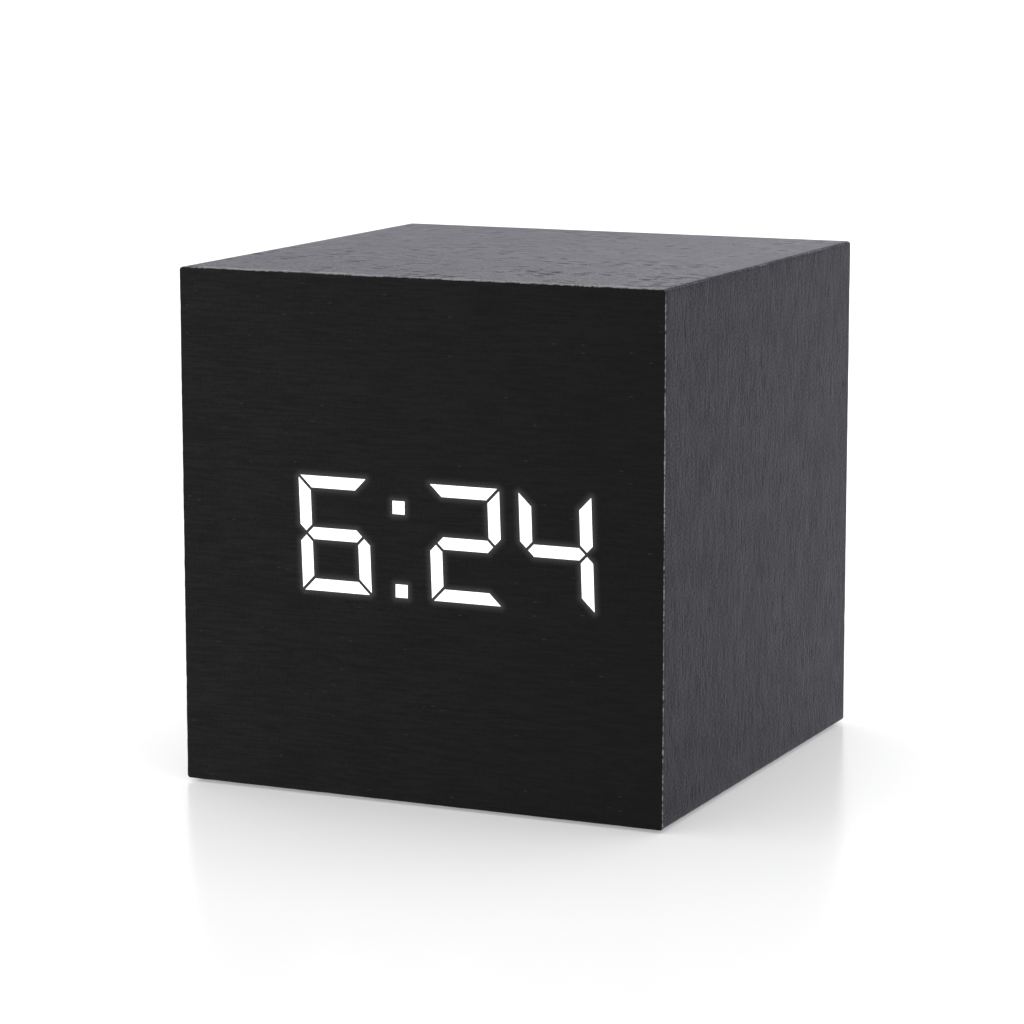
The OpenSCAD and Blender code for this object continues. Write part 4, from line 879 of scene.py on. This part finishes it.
BLACK = (0.016, 0.016, 0.017)
_, key_high = box_mm("set_button")
MATERIALS = {
    "ring_board": fibreboard("board_painted_rim"),
    "front_board": fibreboard("board_raw", painted=False),
    "block_wood": softwood("pine"),
    "foot_rubber": plastic("rubber_feet", (0.020, 0.020, 0.021), 0.5, 0.012, 0.62, 1.45),
    "mask_film": film("black_film"),
    "reflector_white": clouded("reflector_plastic", (0.76, 0.76, 0.74), (0.82, 0.82, 0.80), 0.35),
    "lit_resin": clouded("resin_lit", (0.93, 0.935, 0.945), (1.0, 1.0, 1.0), 0.4, 1.0),
    "resin": clouded("resin_unlit", (0.60, 0.61, 0.60), (0.70, 0.71, 0.70), 0.4),
    "led": diode("diode_package"),
    "spacer_nylon": plastic("nylon_white", (0.62, 0.61, 0.56), 0.6, 0.006, 0.38),
    "steel_screw": metal("zinc_plated", (0.66, 0.67, 0.68), 0.30, (0.4, 0.15, 0.4)),
    "black_screw": plastic("blacked_screw", (0.018, 0.018, 0.020), 0.25, 0.006, 0.34, 1.8, 0.05),
    "tin": metal("tinned_can", (0.70, 0.70, 0.69), 0.26, (0.15, 2.0, 0.15)),
    "header_nylon": plastic("nylon_cream", (0.66, 0.62, 0.50), 0.5, 0.006, 0.4),
    "cover_black": plastic("cover_plastic", BLACK, 0.42, 0.035, 0.46, soft=0.15),
    "key_black": plastic("key_plastic", (0.013, 0.013, 0.014), 0.24, 0.008, 0.36,
                         marks_from=key_high.y - 0.1),
    "switch_black": plastic("switch_plastic", (0.012, 0.012, 0.013), 0.3, 0.008, 0.4),
    "plunger_red": plastic("plunger_plastic", (0.42, 0.03, 0.02), 0.4, 0.006, 0.38),
    "jack_black": plastic("jack_plastic", (0.010, 0.010, 0.011), 0.5, 0.004, 0.24, soft=0.1),
    "contact_brass": metal("brass", (0.80, 0.60, 0.30), 0.24, (0.12, 1.6, 0.12)),
    "soft_rubber": plastic("rubber_boot", (0.022, 0.022, 0.023), 0.4, 0.010, 0.68, 1.45),
    "sounder_black": plastic("sounder_plastic", (0.012, 0.012, 0.012), 0.5, 0.004, 0.28),
    "foam_tape": foam("tape_foam", (0.55, 0.54, 0.50), 0.25),
    "foam": foam("pad_foam", (0.035, 0.035, 0.037), 0.45),
    "lead_red": plastic("lead_insulation_red", (0.45, 0.02, 0.018), 0.7, 0.004, 0.36),
    "lead_black": plastic("lead_insulation_black", (0.012, 0.012, 0.013), 0.7, 0.004, 0.36),
    "lead_brown": plastic("lead_insulation_brown", (0.10, 0.045, 0.02), 0.7, 0.004, 0.36),
    "contact_steel": metal("nickel_plated", (0.70, 0.68, 0.64), 0.22, (0.1, 1.2, 2.2)),
    "ribbon_pvc": ribbon("ribbon_insulation", "ribbon_cable"),
    "capacitor_sleeve": capacitor("capacitor_can", "smoothing_capacitor"),
}
chip_low, chip_high = box_mm("controller_chip")
rest_low, rest_high = box_mm("led_resistors")
OWN_MATERIALS = {
    "display_pcb": circuit_board("display_board", 4.3),
    "control_pcb": circuit_board("control_board", 9.1),
    "controller_chip": chip("chip_package", "Z", (chip_low.z + chip_high.z) / 2, 3.75),
    "led_resistors": chip("resistor_bodies", "Z", (rest_low.z + rest_high.z) / 2, 0.6),
    "cell_1": cell("cell_print_1", "cell_1", True),
    "cell_2": cell("cell_print_2", "cell_2", False),
    "cell_3": cell("cell_print_3", "cell_3", True),
}

# Moulded, cut and pressed edges are slightly rounded, by this much in millimetres
ROUNDING = {
    "top_board": 0.15, "bottom_board": 0.15, "left_board": 0.15, "right_board": 0.15,
    "front_board": 0.15, "corner_blocks": 0.25, "feet": 0.08,
    "display_reflector": 0.1, "display_pcb": 0.06,
    "controller_chip": 0.06, "display_header": 0.1, "control_header": 0.1, "control_pcb": 0.06,
    "switch_cases": 0.1, "dc_jack_case": 0.15, "microphone_boot": 0.15, "sounder": 0.2,
    "battery_door": 0.25, "door_foam_pad": 0.2, "door_latch": 0.12,
    "cell_1": 0.15, "cell_2": 0.15, "cell_3": 0.15,
}


def round_edges(node, width):
    """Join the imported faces, merge flat ones, and round the sharp edges between them."""
    weld = node.modifiers.new("weld", "WELD")
    weld.merge_threshold = 1e-6
    flat = node.modifiers.new("flat", "DECIMATE")
    flat.decimate_type = "DISSOLVE"
    flat.angle_limit = math.radians(0.5)
    bevel = node.modifiers.new("rounding", "BEVEL")
    bevel.width = width * MM
    bevel.segments = 2
    bevel.limit_method = "ANGLE"
    bevel.angle_limit = math.radians(40)
    bevel.use_clamp_overlap = False


for row in frame["record"]["subparts"]:
    name = row["node"]
    material = OWN_MATERIALS.get(name) or MATERIALS.get(row["material_slot"])
    if material:
        nodes[name].material_slots[0].material = material
    if name in ROUNDING:
        round_edges(nodes[name], ROUNDING[name])
